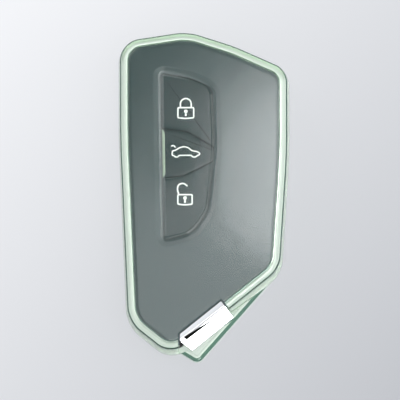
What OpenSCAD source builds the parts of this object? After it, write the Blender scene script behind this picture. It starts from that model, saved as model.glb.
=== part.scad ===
// Clear two-shell cover for a three-button car key fob, with the fob that it holds.
// The cover lies on its back: +X to the right and +Y up as the face is seen, +Z out of the face.

/* [Cover] */
// Width of the cover's front rim
cover_w = 46.5; // [45:0.5:52]
// Length from the top of the rim to the tip of the lug
cover_l = 91; // [88:0.5:100]
// Thickness of the closed cover
cover_t = 17; // [16.6:0.1:20]
// Thickness of the side wall where it is widest
wall_t = 1.5; // [1.3:0.1:2]
// Thickness of the back panel and of the lug's floor
back_t = 1; // [0.8:0.1:1.3]
// Thickness of the clear film over the fob's face
film_t = 0.8; // [0.7:0.05:1]
// Thickness of the film over the buttons
film_pad_t = 0.5; // [0.4:0.05:0.6]
// How far the film dips over the buttons
film_dip = 0.45; // [0.3:0.05:0.5]
// Height at which the two shells part
split_z = 6.2; // [5.8:0.1:6.4]
// How far the side swells out past the rim
side_bulge = 0.7; // [0.4:0.1:1]
// Width of the raised bead round the film
bead_w = 2.3; // [2:0.1:2.6]
// Height of the bead above the film
bead_h = 0.6; // [0.4:0.1:0.8]
// Rounding of the bead's outer edge
bead_r = 1.1; // [0.8:0.1:1.3]
// Rounding of the back edge
back_r = 1; // [0.6:0.1:1.4]
// Thickness of the rear shell's tongue
tongue_t = 0.6; // [0.5:0.05:0.7]
// Height of the rear shell's tongue
tongue_h = 1.2; // [0.8:0.1:1.5]
// Free gap between the tongue and the front shell
lap_gap = 0.1; // [0.05:0.05:0.2]
// Height of the snap ridge on the tongue
snap_h = 0.08; // [0.05:0.01:0.09]
// Height of the lip round the lug
lug_lip_h = 5.6; // [3:0.1:5.7]
// Thickness of the lip round the lug
lug_lip_t = 1.3; // [1:0.1:1.6]

/* [Fob] */
// Free gap between the fob and the cover
fit_gap = 0.25; // [0.15:0.05:0.3]
// Side wall of the fob's housing
housing_t = 1.5; // [1.3:0.1:1.7]
// Front and rear wall of the fob's housing
face_t = 1.4; // [1.3:0.1:1.6]
// Height of the rear housing
rear_housing_h = 7.6; // [7.4:0.1:7.8]
// Width of the rounding along the fob's edges
fob_edge_w = 2.8; // [2.4:0.1:3]
// Height of the rounding along the fob's edges
fob_edge_h = 1.8; // [1.4:0.1:2.2]
// Width of the ledge that carries the inner carrier
ledge_w = 0.7; // [0.5:0.1:0.9]
// Width of the seal between the housing halves
seal_w = 0.6; // [0.5:0.05:0.7]
// Height of the seal between the housing halves
seal_h = 0.6; // [0.4:0.05:0.8]
// Free gap of the inner pieces in the housing
inner_gap = 0.2; // [0.15:0.05:0.3]

/* [Buttons] */
// Depth of the button recess at the lock and unlock buttons
recess_d = 0.7; // [0.6:0.05:0.75]
// How much deeper the boot button lies
boot_drop = 0.35; // [0.2:0.05:0.4]
// Width of the sloping wall round the recess
recess_slope_w = 1.4; // [1.1:0.1:1.6]
// Gap round each button
button_gap = 0.15; // [0.1:0.01:0.2]
// Chamfer on each button's edge
button_chamfer = 0.2; // [0.1:0.05:0.25]
// Thickness of the flange that keeps a button in
button_flange_t = 0.7; // [0.5:0.05:0.8]
// Travel of a button
button_travel = 0.5; // [0.3:0.05:0.55]
// Radius of a button's stem
stem_r = 1.4; // [1.1:0.1:1.8]
// Thickness of the silicone keypad mat
mat_t = 0.5; // [0.4:0.05:0.6]

/* [Electronics] */
// Thickness of the circuit board
board_t = 1; // [0.8:0.1:1.1]
// Side of a tactile switch
switch_w = 4.5; // [4:0.1:5]
// Height of a tactile switch's body
switch_h = 0.9; // [0.8:0.05:1]
// Radius of a switch's plunger
plunger_r = 1.1; // [0.9:0.1:1.3]
// Height of a switch's plunger above its body
plunger_h = 0.3; // [0.2:0.05:0.4]
// Radius of the coin cell
cell_r = 10; // [9.5:0.1:10.2]
// Thickness of the coin cell
cell_t = 3.2; // [2.8:0.1:3.3]
// Step of the coin cell's smaller pole
cell_step = 0.9; // [0.6:0.1:1.2]
// Thickness of the battery contacts
contact_t = 0.2; // [0.15:0.05:0.25]
// Width of the battery contacts
contact_w = 3; // [2.4:0.1:3.6]
// Flange of the battery door outside the cell's opening
door_flange_w = 1.1; // [0.9:0.1:1.3]
// Thickness of the battery door's flange
door_t = 0.65; // [0.55:0.05:0.7]
// Thickness of the battery door's seal
door_seal_t = 0.2; // [0.15:0.05:0.25]
// Length of the coin slot in the battery door
coin_slot_l = 9; // [7:0.5:11]
// Width of the coin slot in the battery door
coin_slot_w = 1.4; // [1:0.1:1.8]

/* [Emergency key] */
// Length of the chrome head along the fob's slanted edge
head_l = 14.6; // [13:0.2:15.4]
// Width of the flat strip next to the face
head_strip_w = 1.9; // [1.6:0.1:2.2]
// Where the ring slot lies, in from the fob's slanted edge
head_slot_in = 1.45; // [1.2:0.05:1.7]
// Width of the sloping facet
head_facet_w = 3.6; // [3:0.1:4]
// Fall of the sloping facet
head_facet_drop = 3.6; // [2.6:0.2:4.4]
// Width of the tapered ring slot at its wide end
ring_slot_w = 1.1; // [0.8:0.1:1.2]
// Depth of the tapered ring slot
ring_slot_d = 3; // [2:0.2:3.6]
// Gap between the head and what lies round it
head_gap = 0.2; // [0.15:0.05:0.3]
// Width of the key blade
blade_w = 6.2; // [5.6:0.1:6.6]
// Thickness of the key blade
blade_t = 1.7; // [1.5:0.05:1.8]
// Length of the blade inside the fob
blade_l = 42; // [34:0.5:46]
// Gap between the blade and its channel
blade_gap = 0.12; // [0.08:0.01:0.15]
// Depth of the blade's milled track
track_d = 0.5; // [0.3:0.05:0.6]
// Width of the blade's milled track
track_w = 1.8; // [1.4:0.1:2.2]
// Radius of the pin that holds the blade in its head
key_pin_r = 0.8; // [0.6:0.05:0.9]
// Thickness of the detent spring
spring_t = 0.3; // [0.2:0.05:0.35]

/* [Hidden] */

// One overrun for all cuts
cut = 1;
// Smallest corner radius after an inset
least_r = 0.3;
// Clearance of pieces that sit in a seat
seat_gap = 0.05;
// Largest turn of one arc piece, in degrees
arc_turn = 11;
// Roundness of the true cylinders
$fn = 72;

// Corners of the rim counter-clockwise from the top left:
// x and radius as shares of the width, y as a share of the length
rim_corner_shares = [
    [-0.499, 0.478, 0.13],
    [-0.497, 0.176, 3.2],
    [-0.447, -0.380, 0.19],
    [-0.191, -0.4835, 0.13],
    [0.452, -0.220, 0.16],
    [0.499, 0.132, 3.2],
    [0.499, 0.390, 0.112],
    [0.183, 0.463, 0.86],
    [-0.095, 0.509, 0.30]
];
// Which rim corners bound the slanted edge beside the chrome head
slant_start = 3;
slant_end = 4;

// Corners of the lug in the same shares; the first three lie inside the rim
lug_corner_shares = [
    [0.438, -0.225, 0.01],
    [0.215, -0.230, 0.01],
    [-0.165, -0.420, 0.01],
    [-0.163, -0.459, 0.02],
    [-0.034, -0.4985, 0.045]
];

// Corners of the button recess at the face, in the same shares
recess_corner_shares = [
    [-0.294, 0.406, 0.06],
    [-0.274, -0.157, 0.065],
    [-0.045, -0.126, 0.15],
    [0.061, -0.050, 0.18],
    [0.102, 0.148, 1.1],
    [0.090, 0.348, 0.11],
    [-0.065, 0.385, 0.4]
];
// The line between the lock and boot buttons, left to right
lock_boot_shares = [[-0.32, 0.218], [-0.098, 0.204], [0.13, 0.134]];
// The line between the boot and unlock buttons, left to right
boot_unlock_shares = [[-0.32, 0.055], [-0.125, 0.067], [0.13, 0.129]];
// Centres of the button stems and switches
lock_centre_share = [-0.105, 0.270];
boot_centre_share = [-0.110, 0.139];
unlock_centre_share = [-0.108, -0.012];
// Ends of the recess's zones above and below
zone_top_share = 0.45;
zone_bottom_share = -0.2;

function sized(shares) = [for (s = shares) [s[0] * cover_w, s[1] * cover_l, s[2] * cover_w]];

function flat(p) = [p[0], p[1]];
function inward(a, b) = let (d = (b - a) / norm(b - a)) [-d[1], d[0]];
function signed_turn(n1, n2) = atan2(n1[0] * n2[1] - n1[1] * n2[0], n1 * n2);

// The points of one rounded corner of an outline that is moved inward by inset.
function corner_arc(before, at, after, inset, z) =
    let (
        n1 = inward(flat(before), flat(at)),
        n2 = inward(flat(at), flat(after)),
        turn = signed_turn(n1, n2),
        side = turn < 0 ? -1 : 1,
        r = max(at[2] - side * inset, least_r),
        centre = flat(at) + (inset + side * r) * (n1 + n2) / (1 + n1 * n2),
        start = atan2(-side * n1[1], -side * n1[0]),
        steps = ceil(abs(turn) / arc_turn)
    )
    [for (k = [0 : steps]) let (a = start + turn * k / steps)
        [centre[0] + r * cos(a), centre[1] + r * sin(a), z]];

// A closed outline with rounded corners at one height, moved inward by inset.
function ring(table, inset, z) = [
    for (i = [0 : len(table) - 1])
        each corner_arc(
            table[(i + len(table) - 1) % len(table)], table[i],
            table[(i + 1) % len(table)], inset, z)
];

// The middle of the whole part's box, which becomes the origin
widest = ring(sized(rim_corner_shares), -side_bulge, 0);
lowest = ring(sized(lug_corner_shares), 0, 0);
box_low = [min([for (p = widest) p[0]]), min([for (p = lowest) p[1]])];
box_high = [max([for (p = widest) p[0]]), max([for (p = widest) p[1]])];
middle = (box_low + box_high) / 2;

function corners(shares) = [for (c = sized(shares)) [c[0] - middle[0], c[1] - middle[1], c[2]]];
function place(share) = [share[0] * cover_w - middle[0], share[1] * cover_l - middle[1]];
rim_corners = corners(rim_corner_shares);
lug_corners = corners(lug_corner_shares);
recess_corners = corners(recess_corner_shares);

// A closed skin through rings of equal count, from a cap that faces down to one that faces up.
module loft(rings) {
    n = len(rings[0]);
    sides = [
        for (i = [0 : len(rings) - 2]) for (j = [0 : n - 1])
            let (a = i * n + j, b = i * n + (j + 1) % n)
            each [[a, a + n, b + n], [a, b + n, b]]
    ];
    first_cap = [for (j = [0 : n - 1]) j];
    last_cap = [for (j = [n - 1 : -1 : 0]) (len(rings) - 1) * n + j];
    polyhedron([for (r = rings) each r], concat([first_cap], sides, [last_cap]));
}

// A straight prism of an outline between two heights.
module prism(table, inset, z0, z1) {
    translate([0, 0, z0])
        linear_extrude(z1 - z0)
            polygon([for (p = ring(table, inset, 0)) flat(p)]);
}

// Heights of the stack, from the back to the face
film_top_z = cover_t - bead_h;
film_z = film_top_z - film_t;
fob_z = back_t + fit_gap;
face_z = film_z - fit_gap;
parting_z = fob_z + rear_housing_h;
floor_z = fob_z + face_t;
ceiling_z = face_z - face_t;
board_top_z = parting_z + board_t;
flange_top_z = ceiling_z - seat_gap;
flange_z = flange_top_z - button_flange_t;
mat_z = board_top_z + switch_h + plunger_h + seat_gap;
mat_top_z = mat_z + mat_t;
stem_z = mat_top_z + button_travel + seat_gap;

// Insets of the walls from the rim
cavity_in = wall_t - side_bulge;
fob_in = cavity_in + fit_gap;
bay_in = fob_in + housing_t;
groove_in = fob_in + (housing_t - seal_w) / 2;

// Widest height of the cover's side, and the height from there to the bead
bulge_z = (cover_t - bead_r) * 0.45;
bulge_reach = cover_t - bead_r - bulge_z;
function side_in(z) = side_bulge * (pow((z - bulge_z) / bulge_reach, 2) - 1);

// Angles of a quarter round, in degrees
quarter = [90, 60, 30, 0];
function round_in(r, a) = r * (1 - cos(a));
function round_down(r, a) = r * (1 - sin(a));

// The slanted edge's own frame: x runs along it from the lower corner, y points into the fob
slant_from = flat(rim_corners[slant_start]);
slant_to = flat(rim_corners[slant_end]);
slant_angle = atan2((slant_to - slant_from)[1], (slant_to - slant_from)[0]);
slant_l = norm(slant_to - slant_from);
module on_slant() {
    translate([slant_from[0], slant_from[1], 0])
        rotate([0, 0, slant_angle])
            children();
}

// All that lies outside the slanted edge, and inside it as far as reach
module beyond_slant(reach, z0, z1) {
    on_slant()
        translate([-slant_l, -slant_l, z0])
            cube([slant_l * 3, slant_l + reach, z1 - z0]);
}

function on_slant_point(p) = [
    slant_from[0] + p[0] * cos(slant_angle) - p[1] * sin(slant_angle),
    slant_from[1] + p[0] * sin(slant_angle) + p[1] * cos(slant_angle)
];

// Place of the head along the slanted edge, as a share of it, and across it
head_start_share = 0.147;
head_start = head_start_share * slant_l;
head_in = head_strip_w + head_slot_in;
head_out = head_facet_w - head_slot_in;
head_z = split_z + head_gap + seat_gap;
head_top_z = face_z - seat_gap;
pocket_in = head_in + head_gap;
slant_wall_in = pocket_in + housing_t;
head_corner = on_slant_point([head_start, head_in]);

// Room that the head fills and sweeps as it is drawn out along -Y, grown by a gap
module head_room(gap, z0, z1) {
    near_y = on_slant_point([head_start, head_in + gap])[1];
    far_out = on_slant_point([head_start + head_l + gap, -head_out - gap]);
    translate([0, 0, z0])
        linear_extrude(z1 - z0)
            polygon([
                [head_corner[0] - gap, near_y],
                [head_corner[0] - gap, -cover_l],
                [far_out[0], -cover_l],
                far_out,
                on_slant_point([head_start + head_l + gap, head_in + gap])
            ]);
}

// Cover

module lug_floor() {
    edge_r = back_t * 0.7;
    loft(concat(
        [for (a = quarter) ring(lug_corners, round_in(edge_r, a), round_down(edge_r, a))],
        [ring(lug_corners, 0, back_t)]
    ));
}

module lug_lip() {
    difference() {
        prism(lug_corners, 0, back_t / 2, lug_lip_h);
        prism(lug_corners, lug_lip_t, back_t, lug_lip_h + cut);
        prism(rim_corners, cavity_in / 2, back_t, lug_lip_h + cut);
    }
}

module rear_tray() {
    seat_in = side_in(split_z) + wall_t - tongue_t;
    tongue_z = split_z + tongue_h;
    loft(concat(
        [for (a = quarter)
            ring(rim_corners, side_in(back_r) + round_in(back_r, a), round_down(back_r, a))],
        [for (k = [1 : 3]) let (z = back_r + (split_z - back_r) * k / 3)
            ring(rim_corners, side_in(z), z)],
        [
            ring(rim_corners, seat_in, split_z),
            ring(rim_corners, seat_in, split_z + tongue_h / 2),
            ring(rim_corners, seat_in - snap_h, split_z + tongue_h * 0.7),
            ring(rim_corners, seat_in, tongue_z),
            ring(rim_corners, cavity_in, tongue_z)
        ],
        [for (a = [0, 30, 60, 90])
            ring(rim_corners,
                cavity_in + round_in(fob_edge_w + fit_gap, a),
                back_t + round_down(fob_edge_h + fit_gap, a))]
    ));
}

module cover_rear_shell() {
    color([0.80, 0.90, 0.82, 0.45])
    difference() {
        union() {
            rear_tray();
            lug_floor();
            lug_lip();
        }
        head_room(head_gap * 2, split_z, cover_t + cut);
    }
}

module front_cap() {
    lap_in = side_in(split_z) + wall_t - tongue_t - lap_gap;
    lap_z = split_z + tongue_h + lap_gap;
    loft(concat(
        [for (a = quarter)
            ring(rim_corners,
                cavity_in + round_in(fob_edge_w + fit_gap, a),
                film_z - round_down(fob_edge_h + fit_gap, a))],
        [
            ring(rim_corners, cavity_in, lap_z),
            ring(rim_corners, lap_in, lap_z),
            ring(rim_corners, lap_in, split_z)
        ],
        [for (k = [0 : 4]) let (z = split_z + (cover_t - bead_r - split_z) * k / 4)
            ring(rim_corners, side_in(z), z)],
        [for (a = [30, 60, 90])
            ring(rim_corners, round_in(bead_r, a), cover_t - round_down(bead_r, a))],
        [
            ring(rim_corners, bead_w - bead_h, cover_t),
            ring(rim_corners, bead_w - bead_h / 4, cover_t - bead_h / 2),
            ring(rim_corners, bead_w, film_top_z)
        ]
    ));
}

// The film's dip over the buttons: its hollow on top or its bulge below
module film_dip_form(top_z, depth) {
    loft([
        ring(recess_corners, recess_slope_w * 1.6, top_z - depth),
        ring(recess_corners, recess_slope_w * 1.1, top_z - depth * 0.6),
        ring(recess_corners, recess_slope_w * 0.5, top_z)
    ]);
}

module cover_front_shell() {
    dip_top = film_dip + film_t - film_pad_t;
    color([0.80, 0.90, 0.82, 0.35])
    difference() {
        union() {
            front_cap();
            film_dip_form(film_z + film_t / 2, film_dip + film_t / 2);
        }
        film_dip_form(film_top_z + seat_gap, dip_top + seat_gap);
        head_room(head_gap * 2, split_z - cut, cover_t + cut);
    }
}

// Fob housing

// The housing's inside above a floor, stopped short of the head's pocket.
module bay(inset, z0, z1) {
    difference() {
        prism(rim_corners, inset, z0, z1);
        beyond_slant(slant_wall_in + inset - bay_in, z0 - cut, z1 + cut);
    }
}

// Places and heights of the battery, the carrier above it and the blade's channel
cell_centre_share = [-0.140, -0.160];
cell_centre = place(cell_centre_share);
door_r = cell_r + inner_gap * 2 + door_flange_w;
door_z = fob_z + seat_gap;
door_ledge_z = door_z + door_t + door_seal_t + seat_gap;
cell_z = floor_z + inner_gap;
cell_top_z = cell_z + cell_t;
carrier_z = cell_top_z + contact_t + seat_gap * 2;
blade_z = parting_z - seat_gap - blade_t;
channel_z = blade_z - seat_gap;
head_middle = on_slant_point([head_start + head_l / 2, head_in]);
blade_x = head_middle[0];
blade_root = head_middle[1];

module fob_rear_skin() {
    loft(concat(
        [for (a = quarter)
            ring(rim_corners, fob_in + round_in(fob_edge_w, a), fob_z + round_down(fob_edge_h, a))],
        [ring(rim_corners, fob_in, parting_z)]
    ));
}

// The blade's way out through the slanted wall and along the carrier.
module blade_way(gap, z0, z1) {
    translate([blade_x - blade_w / 2 - gap, -cover_l, z0])
        cube([blade_w + gap * 2, cover_l + blade_root + blade_l + gap, z1 - z0]);
}

module fob_rear_housing() {
    color([0.12, 0.13, 0.13])
    difference() {
        fob_rear_skin();
        bay(bay_in + ledge_w, floor_z, carrier_z + cut);
        bay(bay_in, carrier_z, parting_z + cut);
        translate([cell_centre[0], cell_centre[1], fob_z - cut])
            cylinder(r = door_r + seat_gap * 2, h = door_ledge_z - fob_z + cut);
        translate([cell_centre[0], cell_centre[1], fob_z - cut])
            cylinder(r = cell_r + inner_gap * 2, h = face_t + cut * 2);
        head_room(head_gap, head_z - head_gap, cover_t);
        blade_way(blade_gap, channel_z, parting_z + cut);
        difference() {
            prism(rim_corners, groove_in, parting_z - seal_h, parting_z + cut);
            prism(rim_corners, groove_in + seal_w, parting_z - seal_h - cut, parting_z + cut * 2);
            beyond_slant(groove_in + seal_w * 2, parting_z - seal_h - cut, parting_z + cut * 2);
        }
    }
}

module fob_front_skin() {
    loft(concat(
        [ring(rim_corners, fob_in, parting_z)],
        [for (a = [0, 22.5, 45, 67.5, 90])
            ring(rim_corners, fob_in + round_in(fob_edge_w, a), face_z - round_down(fob_edge_h, a))]
    ));
}

module fob_front_housing() {
    color([0.36, 0.42, 0.41])
    difference() {
        fob_front_skin();
        bay(bay_in, parting_z - cut, ceiling_z);
        prism(recess_corners, recess_slope_w, ceiling_z - cut, face_z + cut);
        loft([
            ring(recess_corners, recess_slope_w, face_z - recess_d - seat_gap),
            ring(recess_corners, recess_slope_w, face_z - recess_d),
            ring(recess_corners, recess_slope_w * 0.35, face_z - recess_d * 0.25),
            ring(recess_corners, 0, face_z),
            ring(recess_corners, 0, face_z + cut)
        ]);
        head_room(head_gap, parting_z - cut, cover_t);
    }
}

module housing_seal() {
    color([0.10, 0.10, 0.10])
    difference() {
        prism(rim_corners, groove_in + seat_gap, parting_z - seal_h + seat_gap, parting_z);
        prism(rim_corners, groove_in + seal_w - seat_gap, parting_z - seal_h, parting_z + cut);
        beyond_slant(groove_in + seal_w * 2 + seat_gap, parting_z - seal_h - cut, parting_z + cut);
    }
}

// Places of the contact legs beside the cell, where they pass the carrier
negative_leg = cell_centre + [0, cell_r + inner_gap + contact_t * 2];
positive_leg = cell_centre - [0, cell_r + inner_gap + contact_t * 2];

module leg_hole(at) {
    translate([at[0] - contact_w / 2 - inner_gap, at[1] - contact_t * 3, carrier_z - cut])
        cube([contact_w + inner_gap * 2, contact_t * 6, parting_z - carrier_z + cut * 2]);
}

// The carrier's pocket beside the blade for the detent spring
spring_pocket_l = 12;
spring_pocket_w = 1.8;
spring_y = blade_root + blade_l * 0.45;

module inner_carrier() {
    color([0.20, 0.21, 0.22])
    difference() {
        bay(bay_in + inner_gap, carrier_z, parting_z);
        blade_way(blade_gap, channel_z, parting_z + cut);
        leg_hole(negative_leg);
        leg_hole(positive_leg);
        translate([blade_x + blade_w / 2, spring_y, channel_z])
            cube([spring_pocket_w, spring_pocket_l, parting_z]);
    }
}

// Buttons

function line_at(shares, shift) = [for (s = shares) place(s) + [0, shift]];

// The part of the recess between two lines, each given by its points from left to right.
module zone(low, high, z0, z1) {
    translate([0, 0, z0])
        linear_extrude(z1 - z0)
            polygon(concat(low, [for (i = [len(high) - 1 : -1 : 0]) high[i]]));
}

// Ends of the outer buttons, well past the recess
zone_side_shares = [-0.32, 0, 0.13];
zone_top = [for (x = zone_side_shares) place([x, zone_top_share])];
zone_bottom = [for (x = zone_side_shares) place([x, zone_bottom_share])];

module button(low, high, centre_share, top_z) {
    centre = place(centre_share);
    cap_in = recess_slope_w + button_gap;
    intersection() {
        union() {
            loft([
                ring(recess_corners, cap_in, flange_z),
                ring(recess_corners, cap_in, top_z - button_chamfer),
                ring(recess_corners, cap_in + button_chamfer, top_z)
            ]);
            prism(recess_corners, 0, flange_z, flange_top_z);
        }
        zone(low, high, flange_z - cut, face_z + cut);
    }
    translate([centre[0], centre[1], stem_z])
        cylinder(r = stem_r, h = flange_z - stem_z + seat_gap);
}

module lock_button() {
    color([0.37, 0.43, 0.43])
    button(line_at(lock_boot_shares, button_gap), zone_top, lock_centre_share, face_z - recess_d);
}

module boot_button() {
    color([0.36, 0.42, 0.42])
    button(line_at(boot_unlock_shares, button_gap), line_at(lock_boot_shares, -button_gap),
        boot_centre_share, face_z - recess_d - boot_drop);
}

module unlock_button() {
    color([0.38, 0.44, 0.44])
    button(zone_bottom, line_at(boot_unlock_shares, -button_gap), unlock_centre_share,
        face_z - recess_d);
}

// Radius of the mat's domes under the stems
dome_r = stem_r * 1.5;

module keypad_mat() {
    color([0.30, 0.31, 0.32])
    union() {
        prism(recess_corners, 0, mat_z, mat_top_z);
        for (share = [lock_centre_share, boot_centre_share, unlock_centre_share])
            translate([place(share)[0], place(share)[1], mat_z])
                cylinder(r = dome_r, h = mat_t + seat_gap / 2);
    }
}

// Electronics

module circuit_board() {
    color([0.10, 0.35, 0.20])
    bay(bay_in + inner_gap, parting_z, board_top_z);
}

module switch_at(centre_share) {
    centre = place(centre_share);
    color([0.75, 0.76, 0.78])
    union() {
        translate([centre[0] - switch_w / 2, centre[1] - switch_w / 2, board_top_z])
            cube([switch_w, switch_w, switch_h]);
        translate([centre[0], centre[1], board_top_z])
            cylinder(r = plunger_r, h = switch_h + plunger_h);
    }
}

module lock_switch() {
    switch_at(lock_centre_share);
}

module boot_switch() {
    switch_at(boot_centre_share);
}

module unlock_switch() {
    switch_at(unlock_centre_share);
}

// A block with rounded upright edges, centred on its own place
module rounded_block(l, w, h, r) {
    linear_extrude(h)
        polygon([for (p = ring([
            [-l / 2, -w / 2, r], [l / 2, -w / 2, r], [l / 2, w / 2, r], [-l / 2, w / 2, r]
        ], 0, 0)) flat(p)]);
}

// The radio chip's body, its leads and its place on the board
chip_w = 5;
chip_h = 0.9;
chip_lead_w = 0.3;
chip_lead_pitch = 0.8;
chip_leads = 5;
chip_centre_share = [0.26, 0.060];
chip_centre = place(chip_centre_share);

module radio_chip() {
    color([0.08, 0.08, 0.09])
    translate([chip_centre[0], chip_centre[1], board_top_z]) {
        translate([-chip_w / 2, -chip_w / 2, 0])
            cube([chip_w, chip_w, chip_h]);
        for (turn = [0, 90, 180, 270]) for (k = [0 : chip_leads - 1])
            rotate([0, 0, turn])
                translate([chip_w / 2, (k - (chip_leads - 1) / 2) * chip_lead_pitch, 0])
                    translate([0, -chip_lead_w / 2, 0])
                        cube([chip_lead_w * 2, chip_lead_w, chip_lead_w]);
    }
}

// The crystal's can and its place on the board
can_l = 3.2;
can_w = 2.5;
can_h = 0.8;
can_r = 0.5;
can_centre_share = [0.27, -0.020];
can_centre = place(can_centre_share);

module crystal_can() {
    color([0.78, 0.78, 0.80])
    translate([can_centre[0], can_centre[1], board_top_z])
        rounded_block(can_l, can_w, can_h, can_r);
}

// The antenna's ferrite spool, how deep its winding lies, and its place on the board
antenna_w = 10;
antenna_h = 2.6;
antenna_flange_t = 0.6;
antenna_neck_in = 2.4;
antenna_wire_in = 0.3;
antenna_centre_share = [0.27, 0.240];
antenna_centre = place(antenna_centre_share);

module antenna_core() {
    color([0.22, 0.20, 0.20])
    translate([antenna_centre[0], antenna_centre[1], board_top_z]) {
        translate([-antenna_w / 2, -antenna_w / 2, 0])
            cube([antenna_w, antenna_w, antenna_flange_t]);
        cylinder(r = antenna_w / 2 - antenna_neck_in, h = antenna_h);
        translate([-antenna_w / 2, -antenna_w / 2, antenna_h - antenna_flange_t])
            cube([antenna_w, antenna_w, antenna_flange_t]);
    }
}

module antenna_winding() {
    color([0.72, 0.42, 0.20])
    translate([antenna_centre[0], antenna_centre[1], board_top_z + antenna_flange_t + seat_gap])
        difference() {
            cylinder(r = antenna_w / 2 - antenna_wire_in,
                h = antenna_h - antenna_flange_t * 2 - seat_gap * 2);
            translate([0, 0, -cut])
                cylinder(r = antenna_w / 2 - antenna_neck_in + seat_gap, h = antenna_h + cut * 2);
        }
}

// The transponder's block and its place on the board
transponder_l = 10;
transponder_w = 4.2;
transponder_h = 2.2;
transponder_r = 1.2;
transponder_centre_share = [0.24, -0.115];
transponder_centre = place(transponder_centre_share);

module transponder() {
    color([0.16, 0.16, 0.18])
    translate([transponder_centre[0], transponder_centre[1], board_top_z])
        rounded_block(transponder_w, transponder_l, transponder_h, transponder_r);
}

// Battery

// Bevel of the coin cell's edges
cell_bevel = 0.3;

module coin_cell() {
    color([0.76, 0.77, 0.79])
    translate([cell_centre[0], cell_centre[1], cell_z])
        rotate_extrude()
            polygon([
                [0, 0], [cell_r - cell_bevel, 0], [cell_r, cell_bevel],
                [cell_r, cell_t - cell_step], [cell_r - cell_step, cell_t - cell_step],
                [cell_r - cell_step, cell_t - cell_bevel],
                [cell_r - cell_step - cell_bevel, cell_t], [0, cell_t]
            ]);
}

module battery_negative_contact() {
    strip_z = cell_top_z + seat_gap;
    color([0.83, 0.78, 0.55])
    union() {
        translate([negative_leg[0] - contact_w / 2, cell_centre[1] - cell_r / 2, strip_z])
            cube([contact_w, negative_leg[1] - cell_centre[1] + cell_r / 2 + contact_t / 2, contact_t]);
        translate([negative_leg[0] - contact_w / 2, negative_leg[1] - contact_t / 2, strip_z])
            cube([contact_w, contact_t, parting_z - seat_gap - strip_z]);
    }
}

module battery_positive_clip() {
    hook = contact_t * 2;
    color([0.83, 0.78, 0.55])
    union() {
        translate([positive_leg[0] - contact_w / 2, positive_leg[1] - contact_t / 2, cell_z])
            cube([contact_w, contact_t, parting_z - cell_z - seat_gap]);
        translate([positive_leg[0] - contact_w / 4, positive_leg[1], cell_z + cell_t / 4])
            cube([contact_w / 2, hook, contact_t]);
    }
}

module battery_door() {
    boss_r = cell_r - cell_step;
    color([0.13, 0.14, 0.14])
    translate([cell_centre[0], cell_centre[1], 0])
        difference() {
            union() {
                translate([0, 0, door_z])
                    cylinder(r = door_r, h = door_t);
                translate([0, 0, door_z])
                    cylinder(r = boss_r, h = cell_z - seat_gap - door_z);
            }
            translate([-coin_slot_l / 2, -coin_slot_w / 2, door_z - cut])
                cube([coin_slot_l, coin_slot_w, cut + door_t * 0.7]);
        }
}

module battery_door_seal() {
    color([0.09, 0.09, 0.09])
    translate([cell_centre[0], cell_centre[1], door_z + door_t])
        difference() {
            cylinder(r = door_r - seat_gap, h = door_seal_t);
            translate([0, 0, -cut])
                cylinder(r = cell_r + inner_gap * 2 + seat_gap, h = door_seal_t + cut * 2);
        }
}

// Emergency key

// Length of the blade's tang in the head, and the place and overrun of its pin
tang_l = 3.2;
pin_at = [blade_x, blade_root - tang_l * 0.45];
pin_over = 0.8;
pin_top_z = blade_z + blade_t + pin_over;
// Fall of the head's shallow bevel, and where the ring slot starts and ends
head_strip_drop = 0.35;
slot_start_gap = 0.4;
slot_tip_share = 0.84;

module tang_room(gap) {
    translate([blade_x - blade_w / 4 - gap, blade_root - tang_l - gap, blade_z - gap])
        cube([blade_w / 2 + gap * 2, tang_l * 2 + gap * 2, blade_t + gap * 2]);
}

// The head's section across the slanted edge: flat strip, shallow bevel, sloping facet
module head_section() {
    facet_low_z = head_top_z - head_strip_drop - head_facet_drop;
    polygon([
        [head_in, head_z],
        [head_in, head_top_z],
        [head_slot_in + head_strip_w * 0.35, head_top_z - head_strip_drop * 0.3],
        [head_slot_in, head_top_z - head_strip_drop],
        [-head_out, facet_low_z],
        [-head_out, head_z + head_strip_drop],
        [head_strip_drop - head_out, head_z]
    ]);
}

// The slot that a key ring passes, wide at the head's lower end and drawn to a point
module ring_slot() {
    from = head_start + slot_start_gap;
    translate([0, 0, head_top_z - ring_slot_d])
        linear_extrude(ring_slot_d + cut)
            polygon([
                [from, head_slot_in + ring_slot_w / 2],
                [from, head_slot_in - ring_slot_w / 2],
                [head_start + head_l * slot_tip_share, head_slot_in * 0.4]
            ]);
}

module emergency_key_head() {
    chamfer = head_out * 0.8;
    color([0.92, 0.93, 0.93])
    difference() {
        on_slant()
            difference() {
                translate([head_start, 0, 0])
                    rotate([90, 0, 90])
                        linear_extrude(head_l)
                            head_section();
                ring_slot();
                translate([head_start - cut, -head_out - cut, head_z - cut])
                    linear_extrude(cover_t)
                        polygon([[0, 0], [chamfer + cut * 2, 0], [0, chamfer + cut * 2]]);
            }
        tang_room(seat_gap);
        translate([pin_at[0], pin_at[1], head_z - cut])
            cylinder(r = key_pin_r + seat_gap, h = pin_top_z + seat_gap - head_z + cut);
    }
}

// Waves of the milled track, its steps, and its swing and length as shares of the blade's
track_waves = 3;
track_steps = 36;
track_swing_share = 0.16;
track_length_share = 0.86;

// The milled track's plan, a smooth wave along the blade
module track_plan() {
    length = blade_l * track_length_share;
    function wave(k) = blade_w * track_swing_share * sin(360 * track_waves * k / track_steps);
    polygon(concat(
        [for (k = [0 : track_steps]) [wave(k) - track_w / 2, length * k / track_steps]],
        [for (k = [track_steps : -1 : 0]) [wave(k) + track_w / 2, length * k / track_steps]]
    ));
}

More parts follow.
